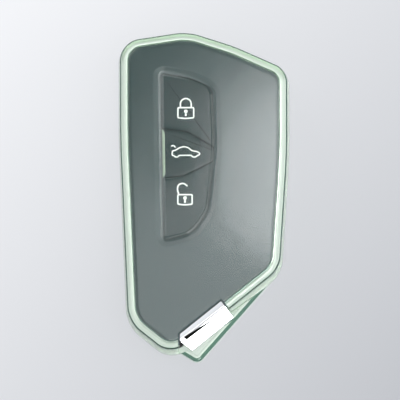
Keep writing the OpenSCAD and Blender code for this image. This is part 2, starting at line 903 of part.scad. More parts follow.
module emergency_key_blade() {
    tip = blade_w * 0.32;
    color([0.70, 0.71, 0.73])
    difference() {
        union() {
            difference() {
                translate([blade_x, 0, blade_z])
                    linear_extrude(blade_t)
                        polygon([
                            [-blade_w / 2, blade_root - blade_w],
                            [blade_w / 2, blade_root - blade_w],
                            [blade_w / 2, blade_root + blade_l - tip],
                            [tip / 2, blade_root + blade_l],
                            [-tip / 2, blade_root + blade_l],
                            [-blade_w / 2, blade_root + blade_l - tip]
                        ]);
                beyond_slant(head_in + seat_gap, blade_z - cut, blade_z + blade_t + cut);
            }
            tang_room(0);
        }
        for (z = [blade_z + blade_t - track_d, blade_z + track_d - blade_t])
            translate([blade_x, blade_root + blade_w, z])
                linear_extrude(blade_t)
                    track_plan();
        translate([pin_at[0], pin_at[1], blade_z - cut])
            cylinder(r = key_pin_r + seat_gap, h = blade_t + cut * 2);
    }
}

module emergency_key_pin() {
    color([0.55, 0.56, 0.58])
    translate([pin_at[0], pin_at[1], head_z + seat_gap])
        cylinder(r = key_pin_r, h = pin_top_z - head_z - seat_gap);
}

// Steps along the detent spring's bow
spring_steps = 8;

// A bowed leaf beside the blade, with its ends against the far wall of its pocket
module blade_detent_spring() {
    near_x = blade_x + blade_w / 2 + blade_gap;
    bow = spring_pocket_w - blade_gap - spring_t - seat_gap * 2;
    free_l = spring_pocket_l - inner_gap * 2;
    function leaf(k) = [
        near_x + bow * pow(2 * k / spring_steps - 1, 2),
        spring_y + inner_gap + free_l * k / spring_steps
    ];
    color([0.66, 0.67, 0.70])
    translate([0, 0, channel_z + seat_gap])
        linear_extrude(blade_t - seat_gap)
            polygon(concat(
                [for (k = [0 : spring_steps]) leaf(k)],
                [for (k = [spring_steps : -1 : 0]) leaf(k) + [spring_t, 0]]
            ));
}

cover_rear_shell();
cover_front_shell();
fob_rear_housing();
fob_front_housing();
housing_seal();
inner_carrier();
lock_button();
boot_button();
unlock_button();
keypad_mat();
circuit_board();
lock_switch();
boot_switch();
unlock_switch();
radio_chip();
crystal_can();
antenna_core();
antenna_winding();
transponder();
coin_cell();
battery_positive_clip();
battery_negative_contact();
battery_door();
battery_door_seal();
emergency_key_head();
emergency_key_blade();
emergency_key_pin();
blade_detent_spring();
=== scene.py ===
"""Studio scene of a clear two-shell key fob cover, closed round the three-button fob that it holds.

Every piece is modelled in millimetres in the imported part's own frame, brought to metres when it is
finished, and rides on the body that carries it.
"""

from __future__ import annotations

import logging
import math
from collections.abc import Callable, Iterator, Sequence
from contextlib import contextmanager
from dataclasses import dataclass, field
from enum import Enum

import bmesh
import bpy
from mathutils import Matrix, Vector


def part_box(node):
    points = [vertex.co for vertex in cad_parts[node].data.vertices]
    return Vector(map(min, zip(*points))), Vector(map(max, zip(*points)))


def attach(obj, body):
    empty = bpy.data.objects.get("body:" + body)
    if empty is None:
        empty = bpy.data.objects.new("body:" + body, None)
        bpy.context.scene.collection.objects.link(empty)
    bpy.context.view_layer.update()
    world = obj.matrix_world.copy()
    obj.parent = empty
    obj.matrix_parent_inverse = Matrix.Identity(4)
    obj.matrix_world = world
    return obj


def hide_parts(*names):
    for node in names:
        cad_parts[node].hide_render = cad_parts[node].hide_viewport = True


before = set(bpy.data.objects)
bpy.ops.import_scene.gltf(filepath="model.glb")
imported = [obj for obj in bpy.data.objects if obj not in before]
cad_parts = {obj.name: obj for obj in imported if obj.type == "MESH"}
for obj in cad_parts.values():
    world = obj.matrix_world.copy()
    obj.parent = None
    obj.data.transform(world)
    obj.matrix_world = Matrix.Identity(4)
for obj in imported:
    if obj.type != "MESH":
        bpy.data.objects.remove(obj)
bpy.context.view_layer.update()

LOG = logging.getLogger("key_fob_cover")
MM = 0.001
TINY = 1e-4
OVERRUN = 1.0
LEAST_RADIUS = 0.02
LEAST_ROUGHNESS = 0.02
ARC_STEP = 2.5

# Marks on the faces of the clear shells: how milky a face looks, and whether its slope, by the upward share
# of its normal,
# gets painted shade: the dark edge colour that stands in for the darkening seen at a rounded edge
CLOUD = "cloud"
EDGE_SHADE_MARK = "tint"
EDGE_SHADE_RISES = (0.4, 0.74)
WALL_CLOUD = 0.45

Corner = tuple[float, float, float]
Point = tuple[float, float]
Level = tuple[float, float]
Span = tuple[float, float]
Piece = bpy.types.Object
Source = bpy.types.Node | bpy.types.NodeSocket

# How Math nodes combine their two inputs, and how a Mix node blends
TIMES, OVER = {"operation": "MULTIPLY"}, {"operation": "DIVIDE"}
PLUS, MINUS = {"operation": "ADD"}, {"operation": "SUBTRACT"}
COLOURS = {"data_type": "RGBA"}
# Strength at the start and the end of a fade
FALL = (1.0, 0.0)

# Outlines, counter-clockwise: x and radius as shares of the cover's width, y of its length
RIM_SHARES = (
    (-0.499, 0.478, 0.13),
    (-0.497, 0.176, 3.2),
    (-0.447, -0.380, 0.19),
    (-0.191, -0.4835, 0.13),
    (0.452, -0.220, 0.16),
    (0.499, 0.132, 3.2),
    (0.499, 0.390, 0.112),
    (0.183, 0.463, 0.86),
    (-0.095, 0.509, 0.30),
)
LUG_SHARES = (
    (0.438, -0.225, 0.0),
    (0.215, -0.230, 0.0),
    (-0.165, -0.420, 0.0),
    (-0.163, -0.459, 0.03),
    (-0.034, -0.4985, 0.045),
)
RECESS_SHARES = (
    (-0.294, 0.406, 0.06),
    (-0.274, -0.157, 0.065),
    (-0.045, -0.126, 0.15),
    (0.061, -0.050, 0.18),
    (0.102, 0.148, 1.1),
    (0.090, 0.348, 0.11),
    (-0.065, 0.385, 0.4),
)
# Lines between the buttons, left to right, and lines well past the recess's ends
ZONE_TOP_SHARES = ((-0.32, 0.45), (0.13, 0.45))
LOCK_BOOT_SHARES = ((-0.32, 0.218), (-0.098, 0.204), (0.13, 0.134))
BOOT_UNLOCK_SHARES = ((-0.32, 0.055), (-0.125, 0.067), (0.13, 0.129))
ZONE_BOTTOM_SHARES = ((-0.32, -0.2), (0.13, -0.2))
# Places in the rim of the two corners that the slanted edge joins
SLANT_START, SLANT_END = 3, 4
# Turns a form drawn as a section, so that its length runs along the slanted edge
SECTION_TURN = Matrix(((0, 0, 1, 0), (1, 0, 0, 0), (0, 1, 0, 0), (0, 0, 0, 1)))


class Facing(Enum):
    """Which way a flat face looks."""

    UP = 1
    DOWN = -1


class Cut(Enum):
    """How one closed form changes another."""

    TAKE = "DIFFERENCE"
    JOIN = "UNION"
    KEEP = "INTERSECT"


def inward(start: Vector, end: Vector) -> Vector:
    """Returns the unit normal to the left of a line, which is the inside of an outline."""
    along = (end - start).normalized()
    return Vector((-along.y, along.x))


@dataclass(frozen=True)
class Outline:
    """A closed outline of rounded corners, counter-clockwise, in millimetres."""

    corners: tuple[Corner, ...]

    def around(self, index: int) -> tuple[Vector, Vector, Vector]:
        """Returns the corner at index between its two neighbours.

        Args:
            index: The corner's place in the outline.

        Returns:
            The corner before, the corner itself and the corner after.
        """
        count = len(self.corners)
        return tuple(Vector(self.corners[(index + step) % count][:2]) for step in (-1, 0, 1))

    def turn(self, index: int) -> float:
        """Measures how far the outline turns left at a corner.

        Args:
            index: The corner's place in the outline.

        Returns:
            The angle, in radians.
        """
        before, at, after = self.around(index)
        first, second = at - before, after - at
        return math.atan2(first.x * second.y - first.y * second.x, first.dot(second))

    def inset(self, reach: float) -> Outline:
        """Moves the outline inwards, or outwards for a negative reach.

        Args:
            reach: The distance between the two outlines.

        Returns:
            The moved outline, with its corner radii changed to match.
        """
        moved = []
        for index, (_x, _y, radius) in enumerate(self.corners):
            before, at, after = self.around(index)
            first, second = inward(before, at), inward(at, after)
            at = at + (first + second) * (reach / (1 + first.dot(second)))
            side = 1 if self.turn(index) > 0 else -1
            grown = max(radius - side * reach, LEAST_RADIUS) if radius else 0.0
            moved.append((at.x, at.y, grown))
        return Outline(tuple(moved))

    def shifted(self, by: Vector) -> Outline:
        """Returns the outline moved as a whole."""
        return Outline(tuple((x + by.x, y + by.y, radius) for x, y, radius in self.corners))


def stroke(path: Sequence[Corner], width: float) -> Outline:
    """Outlines an open line of even width with round ends.

    Args:
        path: The line's points, each with the radius that it bends with.
        width: The line's width.

    Returns:
        The outline round the line.
    """
    ends = (path[0], path[-1])
    sides: dict[int, list[Corner]] = {-1: [], 1: []}
    for index, (x, y, radius) in enumerate(path):
        at = Vector((x, y))
        before = Vector(path[index - 1][:2]) if index else None
        after = Vector(path[index + 1][:2]) if index + 1 < len(path) else None
        first = inward(before, at) if before else inward(at, after)
        second = inward(at, after) if after else first
        bend = first.x * second.y - first.y * second.x
        for side, corners in sides.items():
            place = at + (first + second) * (side * width / 2 / (1 + first.dot(second)))
            grown = radius - math.copysign(width / 2, bend * side)
            if path[index] in ends:
                grown = width * 0.49
            corners.append((place.x, place.y, max(grown, LEAST_RADIUS)))
    return Outline(tuple(sides[-1] + sides[1][::-1]))


def only(piece: Piece) -> None:
    """Makes a piece the only one that is selected, and the active one.

    Args:
        piece: The piece.
    """
    bpy.ops.object.select_all(action="DESELECT")
    piece.select_set(True)
    bpy.context.view_layer.objects.active = piece


def settle(piece: Piece, place: Matrix) -> None:
    """Turns and moves a piece's mesh by a matrix, so that the piece itself stays unturned.

    Args:
        piece: The piece.
        place: Where its mesh goes.
    """
    piece.matrix_world = place
    only(piece)
    bpy.ops.object.transform_apply(location=True, rotation=True, scale=True)


@contextmanager
def editing(piece: Piece, kind: str = "FACE") -> Iterator[None]:
    """Opens one piece for editing, and closes it again.

    Args:
        piece: The piece to edit.
        kind: What is picked: VERT, EDGE or FACE.
    """
    only(piece)
    bpy.ops.object.mode_set(mode="EDIT")
    bpy.ops.mesh.select_mode(type=kind)
    yield
    bpy.ops.object.mode_set(mode="OBJECT")


def pick(piece: Piece, kind: str, test: Callable[[bmesh.types.BMVert], bool]) -> int:
    """Selects the vertices, edges or faces that pass a test, and nothing else.

    Args:
        piece: The piece that is open for editing.
        kind: verts, edges or faces.
        test: Whether one of them is wanted.

    Returns:
        How many were selected.
    """
    bpy.ops.mesh.select_all(action="DESELECT")
    mesh = bmesh.from_edit_mesh(piece.data)
    wanted = [part for part in getattr(mesh, kind) if test(part)]
    for part in wanted:
        part.select_set(True)
    mesh.select_flush_mode()
    bmesh.update_edit_mesh(piece.data)
    return len(wanted)


def lay_out(name: str, outline: Outline, height: float, facing: Facing = Facing.UP) -> Piece:
    """Makes a flat face with rounded corners.

    Args:
        name: The piece's name.
        outline: The outline of the face.
        height: The height that it lies at.
        facing: Which way it looks.

    Returns:
        The new piece.
    """
    bpy.ops.object.select_all(action="DESELECT")
    bpy.ops.mesh.primitive_circle_add(vertices=len(outline.corners), radius=1, fill_type="NGON")
    piece = bpy.context.active_object
    piece.name = piece.data.name = name
    with editing(piece, "VERT"):
        mesh = bmesh.from_edit_mesh(piece.data)
        order = [loop.vert.index for side in mesh.faces for loop in side.loops]
        for index, (x, y, _radius) in zip(order, outline.corners):
            pick(piece, "verts", lambda v, index=index: v.index == index)
            mesh = bmesh.from_edit_mesh(piece.data)
            start = next(v.co.copy() for v in mesh.verts if v.select)
            bpy.ops.transform.translate(value=Vector((x, y, height)) - start)
        for index, (x, y, radius) in enumerate(outline.corners):
            turn = abs(outline.turn(index))
            reach = radius * math.tan(turn / 2)
            if reach <= TINY:
                continue
            place = Vector((x, y, height))
            pick(piece, "verts", lambda v, place=place: (v.co - place).length < TINY)
            bpy.ops.mesh.bevel(
                offset=reach,
                offset_type="OFFSET",
                segments=max(1, math.ceil(math.degrees(turn) / ARC_STEP)),
                profile=0.5,
                affect="VERTICES",
                clamp_overlap=False,
            )
        bpy.ops.mesh.select_all(action="SELECT")
        if facing is Facing.DOWN:
            bpy.ops.mesh.flip_normals()
    return piece


def chosen(piece: Piece) -> bmesh.types.BMFace:
    """Returns the face that is selected in an open piece."""
    return next(f for f in bmesh.from_edit_mesh(piece.data).faces if f.select)


def swell(piece: Piece, reach: float) -> None:
    """Moves the selected end face's outline outwards by about reach.

    Args:
        piece: The piece that is open for editing.
        reach: How far the outline moves.
    """
    corners = [v.co for v in chosen(piece).verts]
    spans = [max(c[axis] for c in corners) - min(c[axis] for c in corners) for axis in (0, 1)]
    bpy.ops.transform.resize(value=(1 + 2 * reach / spans[0], 1 + 2 * reach / spans[1], 1))


def climb(piece: Piece, start: Level, levels: Sequence[Level]) -> None:
    """Draws the selected end face of an open piece through a row of levels.

    Args:
        piece: The piece that is open for editing.
        start: The face's inset and height now.
        levels: The insets and heights that it passes.
    """
    inset, height = start
    facing = 1 if chosen(piece).normal.z > 0 else -1
    for next_inset, next_height in levels:
        step, rise = next_inset - inset, next_height - height
        if step > TINY:
            bpy.ops.mesh.inset(thickness=step, depth=facing * rise, use_even_offset=True)
        else:
            bpy.ops.mesh.extrude_region_move(TRANSFORM_OT_translate={"value": (0, 0, rise)})
            if step < -TINY:
                swell(piece, -step)
        inset, height = next_inset, next_height


def pick_end(piece: Piece, height: float, facing: Facing) -> None:
    """Selects the large face of an open piece that lies at a height and looks up or down.

    Args:
        piece: The piece that is open for editing.
        height: The height that the face lies at.
        facing: Which way it looks.
    """
    mesh = bmesh.from_edit_mesh(piece.data)
    level = [
        f
        for f in mesh.faces
        if abs(f.calc_center_median().z - height) < TINY and f.normal.z * facing.value > 0.9
    ]
    largest = max(level, key=lambda f: f.calc_area()).index
    pick(piece, "faces", lambda f: f.index == largest)


def prism(name: str, outline: Outline, low: float, high: float) -> Piece:
    """Makes a straight closed form between two heights.

    Args:
        name: The piece's name.
        outline: The outline of its section.
        low: The height of its lower face.
        high: The height of its upper face.

    Returns:
        The new piece.
    """
    piece = lay_out(name, outline, low)
    with editing(piece):
        climb(piece, (0, low), [(0, high)])
    return piece


def shape(piece: Piece, tool: Piece, cut: Cut = Cut.TAKE) -> None:
    """Takes a closed form away from a piece, joins it on, or keeps what both hold.

    Args:
        piece: The piece to change.
        tool: The closed form, which is used up.
        cut: What is done with it.
    """
    only(piece)
    bpy.ops.object.modifier_add(type="BOOLEAN")
    modifier = piece.modifiers[-1]
    modifier.operation = cut.value
    modifier.solver = "EXACT"
    modifier.object = tool
    bpy.ops.object.modifier_apply(modifier=modifier.name)
    bpy.data.objects.remove(tool, do_unlink=True)


def soften(
    piece: Piece, width: float, test: Callable[[bmesh.types.BMEdge], bool], steps: int = 3
) -> None:
    """Rounds the edges of a piece that pass a test.

    Args:
        piece: The piece to change.
        width: The width of the rounding.
        test: Whether an edge is rounded.
        steps: The faces across the rounding.
    """
    with editing(piece, "EDGE"):
        if pick(piece, "edges", test):
            bpy.ops.mesh.bevel(offset=width, segments=steps, profile=0.5, affect="EDGES")


def is_sharp(edge: bmesh.types.BMEdge, least: float = 35) -> bool:
    """Returns whether two faces meet at an edge by more than a number of degrees."""
    return len(edge.link_faces) == 2 and edge.calc_face_angle() > math.radians(least)


def rounding(start: Level, reach: float, rise: float, steps: int = 9) -> list[Level]:
    """Returns the levels of a quarter round that starts along the side and ends along the top."""
    angles = [math.pi / 2 * k / steps for k in range(1, steps + 1)]
    return [(start[0] + reach * (1 - math.cos(a)), start[1] + rise * math.sin(a)) for a in angles]


def rolling(start: Level, reach: float, rise: float, steps: int = 7) -> list[Level]:
    """Returns the levels of a quarter round that starts along the top and ends along the side."""
    angles = [math.pi / 2 * k / steps for k in range(1, steps + 1)]
    return [(start[0] + reach * math.sin(a), start[1] + rise * (1 - math.cos(a))) for a in angles]


def ramp(start: Level, reach: float, rise: float, steps: int = 10) -> list[Level]:
    """Returns the levels of a slope that is soft at both ends."""
    shares = [k / steps for k in range(1, steps + 1)]
    return [(start[0] + reach * t, start[1] + rise * t * t * (3 - 2 * t)) for t in shares]


def linear(colour: str) -> tuple[float, float, float, float]:
    """Turns an sRGB colour such as #C0FFEE to linear light with full alpha.

    Args:
        colour: The colour as a hex value.

    Returns:
        Red, green, blue and alpha, from 0 to 1.
    """
    parts = [int(colour[k : k + 2], 16) / 255 for k in (1, 3, 5)]
    steps = [c / 12.92 if c <= 0.04045 else ((c + 0.055) / 1.055) ** 2.4 for c in parts]
    return (*steps, 1.0)


def add(
    tree: bpy.types.NodeTree,
    kind: str,
    settings: dict[str, object] | None = None,
    inputs: dict[str | int, object] | None = None,
) -> bpy.types.Node:
    """Adds a node with its settings, values and links.

    Args:
        tree: The node tree.
        kind: The node's type.
        settings: The node's own settings by name.
        inputs: For each input named, a value, an output socket or a node, which then
            gives its first output in use.

    Returns:
        The new node.
    """
    node = tree.nodes.new(kind)
    for name, value in (settings or {}).items():
        setattr(node, name, value)
    for name, value in (inputs or {}).items():
        if isinstance(value, bpy.types.Node):
            value = next(output for output in value.outputs if output.enabled)
        if isinstance(value, bpy.types.NodeSocket):
            tree.links.new(value, node.inputs[name])
        else:
            node.inputs[name].default_value = value
    return node


@dataclass(frozen=True)
class Fade:
    """How a value changes to another one over a span."""

    span: Span
    ends: Span = (0.0, 1.0)
    soft: bool = True

    @property
    def way(self) -> dict[str, str]:
        """Names whether the change starts and stops softly."""
        return {"interpolation_type": "SMOOTHSTEP" if self.soft else "LINEAR"}

    def over(self, value: Source) -> dict[str, object]:
        """Names the span and both ends, with what the change follows."""
        (low, high), (first, last) = self.span, self.ends
        return {"Value": value, "From Min": low, "From Max": high, "To Min": first, "To Max": last}


@dataclass(frozen=True)
class Finish:
    """What a surface is made of. Sizes are in millimetres, colours are sRGB."""

    name: str
    slot: str
    colour: str
    roughness: float = 0.4
    metallic: float = 0.0
    ior: float = 1.5
    coat: float = 0.0
    grain: float = 0.5
    grain_depth: float = 0.004
    mottle: float = 0.06
    mottle_size: float = 6.0
    roughness_swing: float = 0.06
    stretch: tuple[float, float, float] = (1.0, 1.0, 1.0)

    def pattern(self, tree: bpy.types.NodeTree, size: float, detail: float = 2.0) -> bpy.types.Node:
        """Adds a noise over the piece's own place.

        Args:
            tree: The node tree.
            size: The size of its spots.
            detail: How many finer layers it has.

        Returns:
            The node of the pattern.
        """
        place = add(tree, "ShaderNodeTexCoord").outputs["Object"]
        mapped = add(tree, "ShaderNodeMapping", {}, {"Vector": place, "Scale": self.stretch})
        scale = {"Vector": mapped, "Scale": 1 / (size * MM), "Detail": detail}
        return add(tree, "ShaderNodeTexNoise", {}, scale)

    def shade(self, tree: bpy.types.NodeTree) -> bpy.types.Node:
        """Adds the shader of the surface.

        Args:
            tree: The node tree.

        Returns:
            The shader node.
        """
        spots = self.pattern(tree, self.mottle_size)
        base = linear(self.colour)
        dark = tuple(c * (1 - self.mottle) for c in base[:3]) + (1.0,)
        light = tuple(min(c * (1 + self.mottle), 1) for c in base[:3]) + (1.0,)
        tone = add(tree, "ShaderNodeMix", COLOURS, {"Factor": spots, "A": dark, "B": light})
        grain = self.pattern(tree, self.grain, 3.0)
        smoothest = max(self.roughness - self.roughness_swing, LEAST_ROUGHNESS)
        swing = Fade((0.0, 1.0), (smoothest, self.roughness + self.roughness_swing), soft=False)
        gloss = add(tree, "ShaderNodeMapRange", swing.way, swing.over(grain))
        bump = add(tree, "ShaderNodeBump", {}, {"Height": grain, "Distance": self.grain_depth * MM})
        return add(tree, "ShaderNodeBsdfPrincipled", {}, {
            "Base Color": tone,
            "Roughness": gloss,
            "Metallic": self.metallic,
            "IOR": self.ior,
            "Coat Weight": self.coat,
            "Normal": bump,
        })

    def material(self) -> bpy.types.Material:
        """Gives the material, which is made the first time.

        Returns:
            The material.
        """
        made = bpy.data.materials.get(self.name)
        if made is not None:
            return made
        made = bpy.data.materials.new(self.name)
        made.use_nodes = True
        tree = made.node_tree
        tree.nodes.clear()
        self.close(tree, self.shade(tree))
        return made

    def close(self, tree: bpy.types.NodeTree, shader: bpy.types.Node) -> None:
        """Adds the output of the material."""
        add(tree, "ShaderNodeOutputMaterial", {}, {"Surface": shader.outputs[0]})


@dataclass(frozen=True)
class ClearMoulding(Finish):
    """A clear moulded plastic with a tint that deepens along the way through it."""

    density: float = 20.0
    shadow: str = "#E4F0E6"
    haze: float = 0.27
    clear_colour: str = "#FFFFFF"
    haze_colour: str = "#F0FFEE"
    # Painted shade: the dark green that rounded faces and faces seen from their side are coloured with, and
    # how far a face turns before it sets in
    edge_shade_colour: str = "#3A6152"
    edge: Fade = Fade((0.9, 0.98))

    def shade(self, tree: bpy.types.NodeTree) -> bpy.types.Node:
        """Adds a refracting shader that lets lamps through, with faint flow waves.

        The colour turns to a dark edge colour on rounded edges, and where the face is seen from its side:
        painted shade that stands in for the darkening that refraction gives there.

        Args:
            tree: The node tree.

        Returns:
            The shader node.
        """
        waves = self.pattern(tree, self.grain, 1.0)
        bump = add(tree, "ShaderNodeBump", {}, {"Height": waves, "Distance": self.grain_depth * MM})
        facing = add(tree, "ShaderNodeLayerWeight", {}, {"Blend": 0.5}).outputs["Facing"]
        rounded = add(tree, "ShaderNodeAttribute", {"attribute_name": EDGE_SHADE_MARK}).outputs["Fac"]
        turned = add(tree, "ShaderNodeMapRange", self.edge.way, self.edge.over(facing))
        # Painted shade: rounded faces and faces seen from their side take the dark edge colour
        edge = add(tree, "ShaderNodeMath", {"operation": "MAXIMUM"}, {0: rounded, 1: turned})
        tint = linear(self.edge_shade_colour)
        clear, milky = (
            add(tree, "ShaderNodeMix", COLOURS, {"Factor": edge, "A": linear(colour), "B": tint})
            for colour in (self.clear_colour, self.haze_colour)
        )
        glass = add(tree, "ShaderNodeBsdfPrincipled", {}, {
            "Base Color": clear,
            "Roughness": self.roughness,
            "IOR": self.ior,
            "Transmission Weight": 1.0,
            "Normal": bump,
        })
        thick = add(tree, "ShaderNodeAttribute", {"attribute_name": CLOUD}).outputs["Fac"]
        share = add(tree, "ShaderNodeMath", TIMES, {0: thick, 1: self.haze})
        cloud = add(tree, "ShaderNodeBsdfDiffuse", {}, {"Color": milky})
        body = add(tree, "ShaderNodeMixShader", {}, {0: share, 1: glass, 2: cloud})
        through = add(tree, "ShaderNodeBsdfTransparent", {}, {"Color": linear(self.shadow)})
        shaded = add(tree, "ShaderNodeLightPath").outputs["Is Shadow Ray"]
        return add(tree, "ShaderNodeMixShader", {}, {0: shaded, 1: body, 2: through})

    def close(self, tree: bpy.types.NodeTree, shader: bpy.types.Node) -> None:
        """Adds the output with the tint inside the plastic.

        Args:
            tree: The node tree.
            shader: The shader node of the surface.
        """
        depth = {"Color": linear(self.colour), "Density": self.density}
        tint = add(tree, "ShaderNodeVolumeAbsorption", {}, depth)
        add(tree, "ShaderNodeOutputMaterial", {}, {"Surface": shader, "Volume": tint})


@dataclass(frozen=True)
class LitPanel(Finish):
    """A matt panel lit from below, whose glow fades evenly across it and dies away far out."""

    near_glow: str = "#E6E7EA"
    far_glow: str = "#AEB0B5"
    reach: float = 110.0
    lit_radius: float = 110.0
    dark_radius: float = 320.0
    dark_share: float = 0.3

    def shade(self, tree: bpy.types.NodeTree) -> bpy.types.Node:
        """Adds a matt shader whose glow runs from the upper left to the lower right.

        Args:
            tree: The node tree.

        Returns:
            The shader node.
        """
        place = add(tree, "ShaderNodeTexCoord").outputs["Object"]
        split = add(tree, "ShaderNodeSeparateXYZ", {}, {"Vector": place}).outputs
        across = add(tree, "ShaderNodeMath", MINUS, {0: split["X"], 1: split["Y"]})
        run = Fade((-self.reach * MM, self.reach * MM), soft=False)
        share = add(tree, "ShaderNodeMapRange", run.way, run.over(across))
        ends = {"A": linear(self.near_glow), "B": linear(self.far_glow)}
        tone = add(tree, "ShaderNodeMix", COLOURS, {"Factor": share, **ends})
        away = add(tree, "ShaderNodeVectorMath", {"operation": "LENGTH"}, {0: place})
        rim = Fade((self.lit_radius * MM, self.dark_radius * MM), (1.0, self.dark_share))
        power = add(tree, "ShaderNodeMapRange", rim.way, rim.over(away))
        tooth = self.pattern(tree, self.grain, 3.0)
        bump = add(tree, "ShaderNodeBump", {}, {"Height": tooth, "Distance": self.grain_depth * MM})
        return add(tree, "ShaderNodeBsdfPrincipled", {}, {
            "Base Color": linear(self.colour),
            "Roughness": self.roughness,
            "IOR": self.ior,
            "Normal": bump,
            "Emission Color": tone,
            "Emission Strength": power,
        })


# Thermoplastic polyurethane, injection moulded clear with a trace of green: glossy, bends what
# is behind it, and looks green where the light runs far inside it; the dark green on its rim and rounded
# edges is painted shade
CLEAR_TPU = ClearMoulding(
    "clear_green_tpu", "clear_tpu", "#B4E8B0", roughness=0.05, grain=7.0, grain_depth=0.006,
    density=48.0, shadow="#FAFDF9",
)
# Gloss ABS with a lacquer coat: even dark grey-green, mirror-like under a faint orange peel
LACQUERED_ABS = Finish(
    "lacquered_abs", "fob_face", "#374749", roughness=0.12, ior=1.53, grain=2.5,
    grain_depth=0.0004, mottle=0.05, mottle_size=9.0, roughness_swing=0.02,
)
# Satin ABS caps, fine spark texture from the tool: softer shine than the face round them
SATIN_ABS = Finish(
    "satin_abs_caps", "button_cap", "#0C2A2A", roughness=0.22, ior=1.53, grain=0.25,
    grain_depth=0.002, mottle=0.05, mottle_size=4.0, roughness_swing=0.05,
)
# Black ABS with an eroded texture, drawn coarser than its real 0.05 mm so that it shows
TEXTURED_ABS = Finish(
    "textured_black_abs", "fob_housing", "#2A2D2D", roughness=0.5, ior=1.53, grain=0.3,
    grain_depth=0.006, mottle=0.1, mottle_size=3.0, roughness_swing=0.08,
)
# The boot cap's slanted end, glossy: a pale green strip of colour, a painted highlight of the light it
# catches
HIGHLIGHT_PAINTED_ABS = Finish(
    "painted_highlight_end", "button_cap", "#93A893", roughness=0.1, ior=1.53, grain=0.6, grain_depth=0.001,
    mottle=0.06, mottle_size=3.0, roughness_swing=0.03,
)
# Laser-opened symbols over a pale light guide: chalky white with a green cast
SYMBOL_WHITE = Finish(
    "symbol_white", "button_cap", "#FAFFFC", roughness=0.45, grain=0.2, grain_depth=0.001, mottle=0.02,
)
# Die-cast zinc under bright chrome plate: mirror with long, faint polishing waves
BRIGHT_CHROME = Finish(
    "bright_chrome", "chrome", "#E4E6E8", roughness=0.06, metallic=1.0, grain=2.5, grain_depth=0.003,
    mottle=0.01, roughness_swing=0.02, stretch=(0.5, 0.5, 1.5),
)
# Painted shade at the bottom of the head's slot: black and dull, standing in for the shade deep in the narrow
# slot
SLOT_SHADE_BLACK = Finish("painted_slot_shade", "fob_housing", "#0B0C0C", roughness=0.6, grain=0.4)
# Ground stainless steel: fine scratches along the blade, drawn 0.15 mm apart to show
GROUND_STEEL = Finish(
    "ground_steel", "bright_steel", "#B9BCC0", roughness=0.3, metallic=1.0, grain=0.15,
    grain_depth=0.0015, mottle=0.05, roughness_swing=0.08, stretch=(1.0, 0.04, 1.0),
)
# Liquid-moulded silicone: dull, slightly cloudy dark grey
SILICONE = Finish(
    "moulded_silicone", "silicone", "#3A3B3D", roughness=0.7, ior=1.41, grain=0.4, mottle=0.08,
)
# Glass-epoxy laminate under green solder mask: satin, with the weave faintly raised
LAMINATE = Finish(
    "solder_masked_laminate", "circuit_laminate", "#1C5A38", roughness=0.28, ior=1.55, grain=0.5,
    grain_depth=0.004, mottle=0.15, mottle_size=1.2,
)
# Moulded epoxy: charcoal black, dull
EPOXY = Finish("moulded_epoxy", "chip_epoxy", "#1B1B1D", roughness=0.55, grain=0.2, mottle=0.1)
# Sintered ferrite: dark brown-grey ceramic with a dry grain
FERRITE = Finish(
    "sintered_ferrite", "ferrite", "#3B3636", roughness=0.75, grain=0.25, grain_depth=0.01, mottle=0.15,
)
# Enamelled copper wire, wound: warm orange with a fine row of turns across it
ENAMELLED_COPPER = Finish(
    "enamelled_copper", "copper_wire", "#C4703A", roughness=0.3, metallic=1.0, coat=0.4, grain=0.1,
    grain_depth=0.02, stretch=(0.1, 0.1, 4.0),
)
# Nickel-plated bronze strip: pale warm metal, rolled
PLATED_STRIP = Finish(
    "plated_spring_strip", "contact_brass", "#D8CFA4", roughness=0.25, metallic=1.0, grain=0.2,
    grain_depth=0.001, mottle=0.04, stretch=(1.0, 0.1, 1.0),
)
# Opal acrylic of a light table, cast: even glow with a matt face, greyer to the lower right
PANEL = LitPanel(
    "opal_acrylic_panel", "", "#505254", roughness=0.8, ior=1.49, grain=2.0, grain_depth=0.01,
)


def seat(piece: Piece, finish: Finish, body: str, nodes: Sequence[str] = (), crease: float = 32) -> Piece:
    """Finishes a piece: brings it to metres, shades it and lets it ride on its body.

    Args:
        piece: The piece, in millimetres.
        finish: What it is made of.
        body: The body that it rides on.
        nodes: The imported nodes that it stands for.
        crease: The angle in degrees above which an edge stays crisp.

    Returns:
        The finished piece.
    """
    with editing(piece):
        bpy.ops.mesh.select_all(action="SELECT")
        bpy.ops.mesh.remove_doubles(threshold=TINY)
        bpy.ops.transform.resize(value=(MM, MM, MM), center_override=(0, 0, 0))
    bpy.ops.object.shade_smooth_by_angle(angle=math.radians(crease))
    bpy.ops.object.modifier_add(type="WEIGHTED_NORMAL")
    piece.modifiers[-1].keep_sharp = True
    bpy.ops.object.modifier_apply(modifier=piece.modifiers[-1].name)
    if not piece.data.materials:
        piece.data.materials.append(finish.material())
    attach(piece, body)
    if nodes:
        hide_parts(*nodes)
    LOG.info("%s: %d faces on %s", piece.name, len(piece.data.polygons), body)
    return piece


def box(node: str) -> tuple[Vector, Vector]:
    """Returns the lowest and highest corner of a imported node, in millimetres."""
    low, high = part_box(node)
    return low / MM, high / MM


